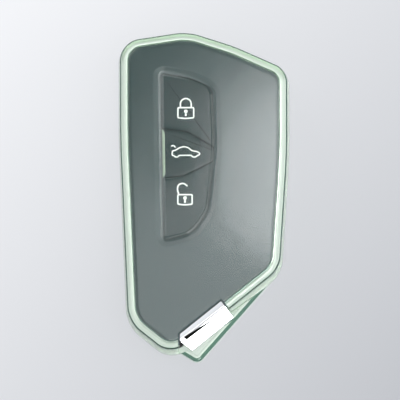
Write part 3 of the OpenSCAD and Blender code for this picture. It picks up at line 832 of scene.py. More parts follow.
@dataclass
class Plan:
    """The outlines that the pieces share, and where they lie in the frame."""

    width: float = 46.5
    length: float = 91.0
    bulge: float = 0.7
    wall: float = 1.5
    fit_gap: float = 0.25
    fob_edge_w: float = 2.2
    fob_edge_h: float = 1.7
    recess_depth: float = 0.7
    recess_slope: float = 1.4
    shift: Vector = field(default_factory=lambda: Vector((0.0, 0.0)))

    def __post_init__(self) -> None:
        """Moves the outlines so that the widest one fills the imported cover's box."""
        widest = lay_out("widest", self.outline(RIM_SHARES).inset(-self.bulge), 0)
        corners = [v.co for v in widest.data.vertices]
        low, high = box("cover_front_shell")
        across = (max(c.x for c in corners) + min(c.x for c in corners) - high.x - low.x) / 2
        self.shift = -Vector((across, max(c.y for c in corners) - high.y))
        bpy.data.objects.remove(widest, do_unlink=True)

    def outline(self, shares: Sequence[Corner]) -> Outline:
        """Returns the outline that a table of shares gives, in its place."""
        sized = tuple((x * self.width, y * self.length, r * self.width) for x, y, r in shares)
        return Outline(sized).shifted(self.shift)

    def line(self, shares: Sequence[Point], rise: float = 0.0) -> list[Corner]:
        """Returns the points of a line that a table of shares gives, moved up by rise."""
        places = [Vector((x * self.width, y * self.length + rise)) + self.shift for x, y in shares]
        return [(place.x, place.y, 0.0) for place in places]

    @property
    def rim(self) -> Outline:
        """The outline of the cover's rim."""
        return self.outline(RIM_SHARES)

    @property
    def recess(self) -> Outline:
        """The outline of the button recess at the face."""
        return self.outline(RECESS_SHARES)

    @property
    def cavity_in(self) -> float:
        """How far the cavity lies inside the rim."""
        return self.wall - self.bulge

    @property
    def fob_in(self) -> float:
        """How far the fob lies inside the rim."""
        return self.cavity_in + self.fit_gap

    @property
    def slant(self) -> Matrix:
        """Gives the frame of the slanted edge: x along it from its lower end, y into the fob.

        Returns:
            The frame as a matrix.
        """
        start = Vector(self.rim.corners[SLANT_START][:2])
        end = Vector(self.rim.corners[SLANT_END][:2])
        turn = math.atan2((end - start).y, (end - start).x)
        return Matrix.Translation((start.x, start.y, 0)) @ Matrix.Rotation(turn, 4, "Z")

    @property
    def slant_length(self) -> float:
        """The length of the slanted edge between its corners."""
        start, end = (Vector(self.rim.corners[k][:2]) for k in (SLANT_START, SLANT_END))
        return (end - start).length


@dataclass
class EmergencyKey:
    """The chrome head in the slanted corner, and the blade that it draws out."""

    plan: Plan
    head_length: float = 14.6
    head_start_share: float = 0.147
    strip: float = 1.9
    slot_in: float = 1.45
    facet: float = 3.6
    fall: float = 3.6
    strip_drop: float = 0.35
    slot_width: float = 1.1
    slot_depth: float = 3.0
    slot_start_gap: float = 0.4
    slot_tip_share: float = 0.84
    crease_swing: float = 0.4
    crease_share: float = 0.35
    end_drop: float = 1.9
    end_slope: float = 35.0
    edge_round: float = 0.16

    @property
    def start(self) -> float:
        """Where the head starts along the slanted edge."""
        return self.head_start_share * self.plan.slant_length

    @property
    def reach_in(self) -> float:
        """How far the head reaches into the fob."""
        return self.strip + self.slot_in

    @property
    def reach_out(self) -> float:
        """How far the head stands out past the slanted edge."""
        return self.facet - self.slot_in

    def room(self, name: str, gap: float, low: float, high: float) -> Piece:
        """Makes the form that the head fills and sweeps as it is drawn out.

        Args:
            name: The form's name.
            gap: How much it is grown.
            low: The height of its lower face.
            high: The height of its upper face.

        Returns:
            The closed form.
        """
        slant = self.plan.slant
        end = self.start + self.head_length + gap
        near = slant @ Vector((self.start, self.reach_in + gap, 0))
        left = (slant @ Vector((self.start, self.reach_in, 0))).x - gap
        far = slant @ Vector((end, -self.reach_out - gap, 0))
        back = slant @ Vector((end, self.reach_in + gap, 0))
        below = -self.plan.length
        corners = ((left, near.y), (left, below), (far.x, below), (far.x, far.y), (back.x, back.y))
        return prism(name, Outline(tuple((x, y, 0.0) for x, y in corners)), low, high)

    def stand(self, piece: Piece) -> None:
        """Puts a form made in the slanted edge's own frame in its place."""
        settle(piece, self.plan.slant)

    def build_head(self) -> None:
        """Builds the head: a facetted bar with its slot, its chamfered corner and soft edges."""
        low, high = box("emergency_key_head")
        base, top = low.z, high.z
        out, facet_low = -self.reach_out, high.z - self.strip_drop - self.fall
        section = Outline((
            (self.reach_in, base, 0.0),
            (self.reach_in, top, 0.0),
            (self.slot_in + self.strip * self.crease_share, top - self.strip_drop * 0.3, 0.0),
            (self.slot_in, top - self.strip_drop, 0.0),
            (out, facet_low, 0.0),
            (out, base + self.strip_drop, 0.0),
            (out + self.strip_drop, base, 0.0),
        ))
        head = prism("chrome_head", section, self.start - self.head_length / 2, self.start + self.head_length)
        settle(head, SECTION_TURN)
        end, crease = self.start + self.head_length, self.slot_in + self.strip * self.crease_share
        with editing(head, "VERT"):
            pick(head, "verts", lambda v: abs(v.co.x - end) < TINY and abs(v.co.y - crease) < TINY)
            bpy.ops.transform.translate(value=(0, -self.crease_swing, 0))
        slant = self.plan.slant
        at = slant @ Vector((self.start, self.reach_in, 0))
        fall, far = math.tan(math.radians(self.end_slope)), self.head_length
        beyond = (
            (at.x, at.y + far),
            (at.x - far, at.y + far),
            (at.x - far, at.y - far),
            (at.x + far, at.y - self.end_drop - far * fall),
            (at.x, at.y - self.end_drop),
        )
        back = slant.inverted()
        corner = Outline(tuple((*(back @ Vector((x, y, 0)))[:2], 0.0) for x, y in beyond))
        shape(head, prism("corner_cut", corner, base - OVERRUN, top + OVERRUN))
        soften(head, self.edge_round, lambda e: is_sharp(e, 12))
        # The second material paints the slot's faces black: painted shade
        head.data.materials.append(BRIGHT_CHROME.material())
        head.data.materials.append(SLOT_SHADE_BLACK.material())
        begin, tip = self.start + self.slot_start_gap, self.start + self.head_length * self.slot_tip_share
        slot = Outline((
            (begin, self.slot_in - self.slot_width / 2, 0.12),
            (tip, self.slot_in * 0.4, 0.02),
            (begin, self.slot_in + self.slot_width / 2, 0.12),
        ))
        cutter = prism("slot_cut", slot, top - self.slot_depth, top + OVERRUN)
        cutter.data.materials.append(SLOT_SHADE_BLACK.material())
        shape(head, cutter)
        self.stand(head)
        seat(head, BRIGHT_CHROME, "emergency_key", ["emergency_key_head"], crease=20)

    def build(self) -> None:
        """Builds the key's pieces."""
        self.build_head()
        refine("emergency_key_blade", "key_blade", GROUND_STEEL, "emergency_key", 0.12)
        refine("emergency_key_pin", "head_pin", GROUND_STEEL, "emergency_key", 0.1)


def mark_clear_faces(piece: Piece, thin: Callable[[bpy.types.MeshPolygon], bool]) -> None:
    """Marks how cloudy each face of a clear piece looks, and whether its slope gets the painted edge shade.

    Args:
        piece: The piece to mark.
        thin: Whether a face belongs to a thin film.
    """
    clouds = piece.data.attributes.new(CLOUD, "FLOAT", "FACE")
    edge_shade_marks = piece.data.attributes.new(EDGE_SHADE_MARK, "FLOAT", "FACE")
    steep, flat = EDGE_SHADE_RISES
    for face in piece.data.polygons:
        rise = abs(face.normal.z)
        cloud = WALL_CLOUD if rise < steep else 1.0
        clouds.data[face.index].value = 0.0 if thin(face) else cloud
        # Painted shade: sloped faces, as on a rounding, are marked for the dark edge colour
        edge_shade_marks.data[face.index].value = float(steep < rise < flat)


def refine(node: str, name: str, finish: Finish, body: str, width: float) -> Piece:
    """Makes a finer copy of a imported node, with its facets joined and its edges rounded.

    Args:
        node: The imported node.
        name: The new piece's name.
        finish: What it is made of.
        body: The body that it rides on.
        width: The rounding of its sharp edges.

    Returns:
        The finished piece, which stands for the node.
    """
    only(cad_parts[node])
    bpy.ops.object.duplicate()
    piece = bpy.context.active_object
    for key in [key for key in piece.keys() if key.startswith("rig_")]:
        del piece[key]
    piece.parent = None
    piece.name = piece.data.name = name
    piece.data.materials.clear()
    with editing(piece):
        bpy.ops.mesh.select_all(action="SELECT")
        bpy.ops.transform.resize(value=(1 / MM,) * 3, center_override=(0, 0, 0))
        bpy.ops.mesh.remove_doubles(threshold=TINY * 5)
        bpy.ops.mesh.dissolve_limited(angle_limit=math.radians(0.5))
    if width:
        only(piece)
        bpy.ops.object.modifier_add(type="BEVEL")
        modifier = piece.modifiers[-1]
        modifier.width = width
        modifier.segments = 2
        modifier.limit_method = "ANGLE"
        modifier.angle_limit = math.radians(38)
        modifier.use_clamp_overlap = True
        bpy.ops.object.modifier_apply(modifier=modifier.name)
    return seat(piece, finish, body, [node])


@dataclass
class Cover:
    """The two clear shells of the cover, and the lug under the slanted corner."""

    plan: Plan
    key: EmergencyKey
    back: float = 1.0
    film: float = 0.8
    film_pad: float = 0.5
    film_dip: float = 0.45
    dip_in: float = 0.9
    dip_w: float = 1.6
    bead: float = 2.3
    bead_rise: float = 0.6
    bead_round: float = 1.1
    back_round: float = 1.0
    tongue: float = 0.6
    lap_gap: float = 0.1
    snap: float = 0.08
    lug_lip: float = 1.3
    lug_lip_top: float = 5.6
    lug_draft: float = 0.1
    lug_chamfer_w: float = 0.9
    lug_chamfer_h: float = 1.3
    lug_round: float = 0.2
    mouth_gap: float = 0.4

    def __post_init__(self) -> None:
        """Reads the shells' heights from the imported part."""
        low, high = box("cover_front_shell")
        self.split, self.top = low.z, high.z
        self.tongue_top = box("cover_rear_shell")[1].z
        self.film_top = self.top - self.bead_rise
        self.film_low = self.film_top - self.film
        self.bulge_height = (self.top - self.bead_round) * 0.45

    def side(self, height: float) -> float:
        """Returns how far the swelling side lies inside the rim at a height."""
        reach = self.top - self.bead_round - self.bulge_height
        return self.plan.bulge * (((height - self.bulge_height) / reach) ** 2 - 1)

    def swollen(self, low: float, high: float, steps: int = 10) -> list[Level]:
        """Returns the levels of the side from one height to another, which may be lower."""
        heights = [low + (high - low) * k / steps for k in range(1, steps + 1)]
        return [(self.side(height), height) for height in heights]

    def dip(self, name: str, top: float, depth: float, over: float) -> Piece:
        """Makes the form of the film's dip over the buttons.

        Args:
            name: The form's name.
            top: The height at which the dip starts.
            depth: How deep it is.
            over: How far the form goes on above its top.

        Returns:
            The closed form.
        """
        start = self.dip_in
        form = lay_out(name, self.plan.recess.inset(start), top + over, Facing.DOWN)
        with editing(form):
            climb(form, (start, top + over), [(start, top)])
            climb(form, (start, top), ramp((start, top), self.dip_w, -depth, 14))
        return form

    def mouth(self) -> Piece:
        """Makes the form that is cut from both shells for the emergency key's head."""
        return self.key.room("mouth", self.mouth_gap, self.split - OVERRUN, self.top + OVERRUN)

    def build_front(self) -> None:
        """Builds the front shell: swelling side, bead, film with its dip, and the lap below."""
        start = (self.side(self.split), self.split)
        bead_low = self.top - self.bead_round
        shell = lay_out("front_shell_moulding", self.plan.rim.inset(start[0]), start[1])
        outer = self.swollen(self.split, bead_low, 14)
        outer += rounding((0.0, bead_low), self.bead_round, self.bead_round)
        outer += [(self.bead - self.bead_rise, self.top)]
        outer += rolling(outer[-1], self.bead_rise, -self.bead_rise)
        lap = start[0] + self.plan.wall - self.tongue - self.lap_gap
        lap_top = self.tongue_top + self.lap_gap
        cavity, reach = self.plan.cavity_in, self.plan.fob_edge_w + self.plan.fit_gap
        rise = self.plan.fob_edge_h + self.plan.fit_gap
        inner = [(lap, self.split), (lap, lap_top), (cavity, lap_top), (cavity, self.film_low - rise)]
        inner += rounding(inner[-1], reach, rise)
        with editing(shell):
            climb(shell, start, [(start[0], outer[0][1]), *outer[1:]])
            pick_end(shell, self.split, Facing.DOWN)
            climb(shell, start, inner)
        depth = self.film_dip + self.film - self.film_pad
        shape(shell, self.dip("dip_below", self.film_low, self.film_dip, self.film / 2), Cut.JOIN)
        shape(shell, self.dip("dip_above", self.film_top, depth, OVERRUN))
        shape(shell, self.mouth())
        low = self.film_low - self.film_dip - TINY
        mark_clear_faces(
            shell, lambda face: low < face.center.z < self.film_top + TINY and abs(face.normal.z) > 0.7
        )
        seat(shell, CLEAR_TPU, "front_shell", ["cover_front_shell"])

    def lug(self) -> Piece:
        """Makes the lug: a floor with a lip round it, open towards the fob.

        Returns:
            The lug.
        """
        outline = self.plan.outline(LUG_SHARES)
        edge, top, soft = self.back * 0.7, self.lug_lip_top, self.lug_round
        lug = lay_out("lug", outline, edge)
        foot = (self.lug_draft, top - self.lug_chamfer_h)
        brow = (self.lug_draft + self.lug_chamfer_w, top - soft / 2)
        with editing(lug):
            climb(lug, (0, edge), [(0, edge * 1.3), foot, brow, (brow[0] + soft, top)])
            pick_end(lug, edge, Facing.DOWN)
            climb(lug, (0, edge), rounding((0, edge), edge, -edge, 5))
        shoulder = brow[0] + soft + self.lug_lip * 0.3
        inner = outline.inset(shoulder).corners
        inner = Outline(tuple((x, y, max(radius, soft * 3) if radius else 0.0) for x, y, radius in inner))
        hollow = lay_out("lug_hollow", inner, top + OVERRUN, Facing.DOWN)
        with editing(hollow):
            climb(hollow, (0, top + OVERRUN), [(0, top), *rolling((0, top), soft, -soft, 4)])
            climb(hollow, (soft, top - soft), [(soft, self.back)])
        shape(lug, hollow)
        cavity = self.plan.rim.inset(self.plan.cavity_in / 2)
        shape(lug, prism("lug_room", cavity, self.back, top + OVERRUN))
        return lug

    def build_rear(self) -> None:
        """Builds the rear shell: flat back, swelling side, snap tongue and lug."""
        start = (self.side(self.split), self.split)
        shell = lay_out("rear_shell_moulding", self.plan.rim.inset(start[0]), start[1], Facing.DOWN)
        outer = self.swollen(self.split, self.back_round)
        outer += rounding(outer[-1], self.back_round, -self.back_round, 7)
        lap = start[0] + self.plan.wall - self.tongue
        cavity, reach = self.plan.cavity_in, self.plan.fob_edge_w + self.plan.fit_gap
        rise = self.plan.fob_edge_h + self.plan.fit_gap
        height = self.tongue_top - self.split
        inner = [
            (lap, self.split),
            (lap, self.split + height * 0.5),
            (lap - self.snap, self.split + height * 0.7),
            (lap, self.tongue_top),
            (cavity, self.tongue_top),
            (cavity, self.back + rise),
        ]
        inner += rounding(inner[-1], reach, -rise)
        with editing(shell):
            climb(shell, start, [(start[0], outer[0][1]), *outer[1:]])
            pick_end(shell, self.split, Facing.UP)
            climb(shell, start, inner)
        shape(shell, self.lug(), Cut.JOIN)
        shape(shell, self.mouth_above())
        mark_clear_faces(shell, lambda face: False)
        seat(shell, CLEAR_TPU, "rear_shell", ["cover_rear_shell"])

    def mouth_above(self) -> Piece:
        """Makes the form that opens the tongue for the emergency key's head."""
        return self.key.room("mouth_above", self.mouth_gap, self.split, self.top + OVERRUN)

    def build(self) -> None:
        """Builds both shells."""
        self.build_front()
        self.build_rear()


@dataclass
class Fob:
    """The fob's housing with its button recess."""

    plan: Plan
    key: EmergencyKey
    housing: float = 1.5
    face: float = 1.4
    head_gap: float = 0.09
    recess_spread: float = 0.5

    def __post_init__(self) -> None:
        """Reads the housing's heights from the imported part."""
        low, high = box("fob_front_housing")
        self.parting, self.top = low.z, high.z
        self.ceiling = self.top - self.face

    def build_front(self) -> None:
        """Builds the front housing: rounded face, sunk recess with its soft wall, and the bay."""
        fob_in = self.plan.fob_in
        edge = self.top - self.plan.fob_edge_h
        front = lay_out("front_housing_moulding", self.plan.rim.inset(fob_in), self.parting)
        with editing(front):
            climb(front, (0, self.parting), [(0, edge)])
            climb(front, (0, edge), rounding((0, edge), self.plan.fob_edge_w, self.plan.fob_edge_h, 14))
        inside = self.plan.rim.inset(fob_in + self.housing)
        bay = prism("bay", inside, self.parting - OVERRUN, self.ceiling)
        wall = self.key.reach_in + self.head_gap + self.housing
        far = self.plan.slant_length * 2
        beyond = Outline(((-far, -far, 0.0), (far, -far, 0.0), (far, wall, 0.0), (-far, wall, 0.0)))
        limit = prism("beyond_slant", beyond, 0, self.top + OVERRUN)
        self.key.stand(limit)
        shape(bay, limit)
        shape(front, bay)
        shape(front, self.recess())
        shape(front, self.key.room("pocket", self.head_gap, self.parting - OVERRUN, self.top + OVERRUN))
        seat(front, LACQUERED_ABS, "fob", ["fob_front_housing"])

    def recess(self) -> Piece:
        """Makes the form of the button recess, down through the face.

        Returns:
            The form to take away.
        """
        out = -self.recess_spread
        form = lay_out("recess", self.plan.recess.inset(out), self.top + OVERRUN, Facing.DOWN)
        reach = self.plan.recess_slope + self.recess_spread
        slope = ramp((out, self.top), reach, -self.plan.recess_depth, 14)
        with editing(form):
            climb(form, (out, self.top + OVERRUN), [(out, self.top)])
            climb(form, (out, self.top), [*slope, (slope[-1][0], self.ceiling - OVERRUN)])
        return form

    def build(self) -> None:
        """Builds the housing, its seal and its carrier."""
        self.build_front()
        refine("fob_rear_housing", "rear_housing_moulding", TEXTURED_ABS, "fob", 0.12)
        refine("housing_seal", "housing_seal_cord", SILICONE, "fob", 0.0)
        refine("inner_carrier", "carrier_moulding", TEXTURED_ABS, "fob", 0.1)


class Symbol(Enum):
    """The sign on a button."""

    CLOSED_PADLOCK = "closed_padlock"
    OPEN_BOOT = "open_boot"
    OPEN_PADLOCK = "open_padlock"


@dataclass(frozen=True)
class Key:
    """One button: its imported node, its body, the lines that bound it and its sign."""

    node: str
    body: str
    lower: tuple[Point, ...]
    upper: tuple[Point, ...]
    symbol: Symbol


@dataclass
class Keypad:
    """The three buttons in the recess, with their signs."""

    plan: Plan
    gap: float = 0.09
    zone_gap: float = 0.06
    sliver: float = 0.03
    crown_w: float = 1.1
    crown_h: float = 0.28
    flange: float = 0.7
    flange_drop: float = 1.45
    stem: float = 1.4
    edge_round: float = 0.4
    ink: float = 0.04
    line: float = 0.42
    keys: tuple[Key, ...] = (
        Key("lock_button", "lock_key", LOCK_BOOT_SHARES, ZONE_TOP_SHARES, Symbol.CLOSED_PADLOCK),
        Key("boot_button", "boot_key", BOOT_UNLOCK_SHARES, LOCK_BOOT_SHARES, Symbol.OPEN_BOOT),
        Key(
            "unlock_button", "unlock_key", ZONE_BOTTOM_SHARES, BOOT_UNLOCK_SHARES, Symbol.OPEN_PADLOCK
        ),
    )

    def build_cap(self, key: Key) -> float:
        """Builds one button with its flange and stem.

        Args:
            key: The button.

        Returns:
            The height of its top.
        """
        low, high = box(key.node)
        face = box("fob_front_housing")[1].z
        flange_top = face - self.flange_drop
        flange_low = flange_top - self.flange
        cap_in = self.plan.recess_slope + self.gap
        brow = high.z - self.crown_h
        tall = brow + self.crown_w
        cap = prism(key.body + "_cap", self.plan.recess.inset(cap_in), flange_low, tall)
        shape(cap, prism("flange", self.plan.recess, flange_low, flange_top), Cut.JOIN)
        lower = self.plan.line(key.lower, self.zone_gap)
        upper = self.plan.line(key.upper, -self.zone_gap)
        zone = Outline(tuple(lower + upper[::-1]))
        self.build_stem(cap, key, low.z, flange_low)
        shape(cap, prism("zone", zone, low.z - OVERRUN, tall + OVERRUN), Cut.KEEP)
        with editing(cap):
            bpy.ops.mesh.select_all(action="SELECT")
            bpy.ops.mesh.remove_doubles(threshold=self.sliver)
        soften(cap, self.crown_w * 0.98, lambda e: all(abs(v.co.z - tall) < TINY for v in e.verts), 8)
        with editing(cap, "VERT"):
            pick(cap, "verts", lambda v: v.co.z > brow - TINY)
            flat = (1, 1, self.crown_h / self.crown_w)
            bpy.ops.transform.resize(value=flat, center_override=(0, 0, brow))
        # Painted highlight on the boot cap's slanted left end
        if key.symbol is Symbol.OPEN_BOOT:
            self.paint_end_highlight(cap, brow)
        seat(cap, SATIN_ABS, key.body, [key.node])
        return high.z

    def paint_end_highlight(self, cap: Piece, brow: float) -> None:
        """Gives the slanted left end of a cap a painted highlight: a pale green strip in its own material.

        Args:
            cap: The cap.
            brow: The height above which the strip lies.
        """
        cap.data.materials.append(SATIN_ABS.material())
        cap.data.materials.append(HIGHLIGHT_PAINTED_ABS.material())
        left = min(v.co.x for v in cap.data.vertices if v.co.z > brow)
        for face in cap.data.polygons:
            if face.center.z > brow and face.center.x < left + self.crown_w * 2 and face.normal.x < -0.01:
                face.material_index = 1

    def build_stem(self, cap: Piece, key: Key, low: float, high: float) -> None:
        """Joins the stem that presses the mat on to a cap.

        Args:
            cap: The cap.
            key: The button.
            low: The height of the stem's end.
            high: The height of the cap's underside.
        """
        switch = box(key.node.replace("_button", "_switch"))
        place = (switch[0] + switch[1]) / 2
        bpy.ops.object.select_all(action="DESELECT")
        bpy.ops.mesh.primitive_cylinder_add(
            vertices=64,
            radius=self.stem,
            depth=high - low + self.flange / 2,
            location=(place.x, place.y, (high + low + self.flange / 2) / 2),
        )
        stem = bpy.context.active_object
        bpy.ops.object.transform_apply(location=True, rotation=True, scale=True)
        soften(stem, self.edge_round, lambda e: is_sharp(e) and all(v.co.z < low + TINY for v in e.verts))
        shape(cap, stem, Cut.JOIN)

    def ring(self, name: str, corners: Sequence[Corner], width: float, top: float) -> Piece:
        """Makes a closed line of ink.

        Args:
            name: The piece's name.
            corners: The middle of the line, counter-clockwise.
            width: The line's width.
            top: The height of the cap that it lies on.

        Returns:
            The raised line.
        """
        outline = Outline(tuple(corners)).shifted(self.plan.shift).inset(-width / 2)
        piece = lay_out(name, outline, top)
        with editing(piece):
            bpy.ops.mesh.inset(thickness=width, use_even_offset=True)
            bpy.ops.mesh.delete(type="FACE")
            bpy.ops.mesh.select_all(action="SELECT")
            bpy.ops.mesh.extrude_region_move(TRANSFORM_OT_translate={"value": (0, 0, self.ink)})
        return piece

    def mark(self, name: str, outline: Outline, top: float) -> Piece:
        """Makes a filled shape of ink on a cap."""
        return prism(name, outline.shifted(self.plan.shift), top, top + self.ink)

    def keyhole(self, name: str, x: float, y: float, top: float) -> Piece:
        """Makes the keyhole of a padlock round a centre.

        Args:
            name: The piece's name.
            x: The centre's place to the right.
            y: The centre's place up the face.
            top: The height that it reaches up to.

        Returns:
            The form of the keyhole.
        """
        head, neck, foot, tall, stem = 0.52, 0.2, 0.3, 0.52, 1.3
        corners = (
            (x - foot, y - stem, 0.05),
            (x + foot, y - stem, 0.05),
            (x + neck, y - tall * 0.75, 0.05),
            (x + head, y - tall * 0.6, 0.3),
            (x + head, y + tall, 0.45),
            (x - head, y + tall, 0.45),
            (x - head, y - tall * 0.6, 0.3),
            (x - neck, y - tall * 0.75, 0.05),
        )
        return self.mark(name, Outline(corners), top)

    def padlock(
        self, name: str, low: Point, high: Point, shackle: Sequence[Corner], top: float
    ) -> list[Piece]:
        """Makes a padlock: body, keyhole and shackle.

        Args:
            name: What the pieces' names start with.
            low: The body's lower left corner.
            high: The body's upper right corner.
            shackle: The middle of the shackle's line.
            top: The height of the cap that it lies on.

        Returns:
            The raised pieces.
        """
        soft, belly = 0.3, 0.22
        middle = (low[0] + high[0]) / 2
        body = (
            (low[0], low[1] + belly / 2, soft),
            (middle, low[1] - belly / 2, 4.0),
            (high[0], low[1] + belly / 2, soft),
            (high[0], high[1], soft),
            (low[0], high[1], soft),
        )
        return [
            self.ring(name + "_body", body, self.line, top),
            self.mark(name + "_shackle", stroke(shackle, self.line), top),
            self.keyhole(name + "_keyhole", middle, (low[1] + high[1]) / 2 + 0.4, top),
        ]

    def car(self, top: float) -> list[Piece]:
        """Makes a car seen from the side with its boot lid up.

        Args:
            top: The height of the cap that it lies on.

        Returns:
            The raised pieces.
        """
        thin = self.line * 0.84
        body = (
            (-8.72, 12.3, 0.25), (-8.68, 11.85, 0.2), (-8.2, 11.75, 0.25), (-7.78, 11.35, 0.3),
            (-7.15, 11.35, 0.3), (-6.75, 11.84, 0.15), (-3.42, 11.84, 0.15), (-2.97, 11.35, 0.3),
            (-2.2, 11.35, 0.3), (-1.72, 11.8, 0.25), (-1.12, 11.95, 0.2), (-1.06, 12.45, 0.25),
            (-1.85, 12.9, 0.6), (-3.25, 13.12, 0.5), (-4.15, 13.95, 1.2), (-5.4, 14.32, 2.0),
            (-6.7, 13.95, 1.5), (-7.68, 13.32, 0.6), (-8.6, 13.05, 0.2),
        )
        lid = ((-9.0, 14.35, 0.0), (-8.5, 14.66, 0.3), (-8.08, 14.42, 0.4), (-7.75, 13.98, 0.0))
        return [
            self.ring("car_body", body, thin, top),
            self.mark("car_boot_lid", stroke(lid, thin), top),
        ]

    def build_symbol(self, key: Key, top: float) -> None:
        """Builds the sign of one button as one raised piece.

        Args:
            key: The button.
            top: The height of its top.
        """
        if key.symbol is Symbol.CLOSED_PADLOCK:
            bow = ((-6.42, 25.3, 0.0), (-6.42, 27.7, 1.5), (-3.42, 27.7, 1.5), (-3.42, 25.3, 0.0))
            parts = self.padlock("lock_sign", (-7.1, 22.2), (-2.72, 25.15), bow, top)
        elif key.symbol is Symbol.OPEN_PADLOCK:
            bow = (
                (-6.85, 0.9, 0.0), (-7.25, 2.3, 1.0), (-7.0, 3.7, 1.1), (-5.4, 4.02, 1.2),
                (-4.4, 3.1, 0.0),
            )
            parts = self.padlock("unlock_sign", (-7.1, -1.95), (-3.15, 0.8), bow, top)
        else:
            parts = self.car(top)
        bpy.ops.object.select_all(action="DESELECT")
        for part in parts:
            part.select_set(True)
        bpy.context.view_layer.objects.active = parts[0]
        bpy.ops.object.join()
        sign = bpy.context.active_object
        sign.name = sign.data.name = key.symbol.value + "_sign"
        seat(sign, SYMBOL_WHITE, key.body)

    def build(self) -> None:
        """Builds the caps, their signs and the mat below them."""
        for key in self.keys:
            self.build_symbol(key, self.build_cap(key))
        refine("keypad_mat", "keypad_mat_sheet", SILICONE, "fob", 0.08)


@dataclass(frozen=True)
class Inner:
    """One inner piece that keeps its packed form: its node, new name, finish and edge rounding."""

    node: str
    name: str
    finish: Finish
    rounding: float


@dataclass
class Innards:
    """The board with its parts, and the battery with its contacts, door and seal."""

    pieces: tuple[Inner, ...] = (
        Inner("circuit_board", "board_laminate", LAMINATE, 0.08),
        Inner("lock_switch", "lock_switch_can", GROUND_STEEL, 0.08),
        Inner("boot_switch", "boot_switch_can", GROUND_STEEL, 0.08),
        Inner("unlock_switch", "unlock_switch_can", GROUND_STEEL, 0.08),
        Inner("radio_chip", "radio_chip_package", EPOXY, 0.04),
        Inner("crystal_can", "crystal_lid", GROUND_STEEL, 0.1),
        Inner("antenna_core", "ferrite_spool", FERRITE, 0.08),
        Inner("antenna_winding", "wound_wire", ENAMELLED_COPPER, 0.1),
        Inner("transponder", "transponder_block", EPOXY, 0.1),
        Inner("coin_cell", "coin_cell_can", GROUND_STEEL, 0.08),
        Inner("battery_positive_clip", "positive_clip_strip", PLATED_STRIP, 0.03),
        Inner("battery_negative_contact", "negative_contact_strip", PLATED_STRIP, 0.03),
        Inner("battery_door", "battery_door_cap", TEXTURED_ABS, 0.12),
        Inner("battery_door_seal", "door_seal_ring", SILICONE, 0.04),
        Inner("blade_detent_spring", "detent_leaf", GROUND_STEEL, 0.03),
    )

    def build(self) -> None:
        """Builds a finer copy of each inner piece."""
        for piece in self.pieces:
            refine(piece.node, piece.name, piece.finish, "fob", piece.rounding)


@dataclass(frozen=True)
class Lamp:
    """A soft rectangular lamp, in metres and degrees."""

    name: str
    place: tuple[float, float, float]
    aim: tuple[float, float, float]
    width: float
    height: float
    radiance: float
    colour: str = "#FFFFFF"


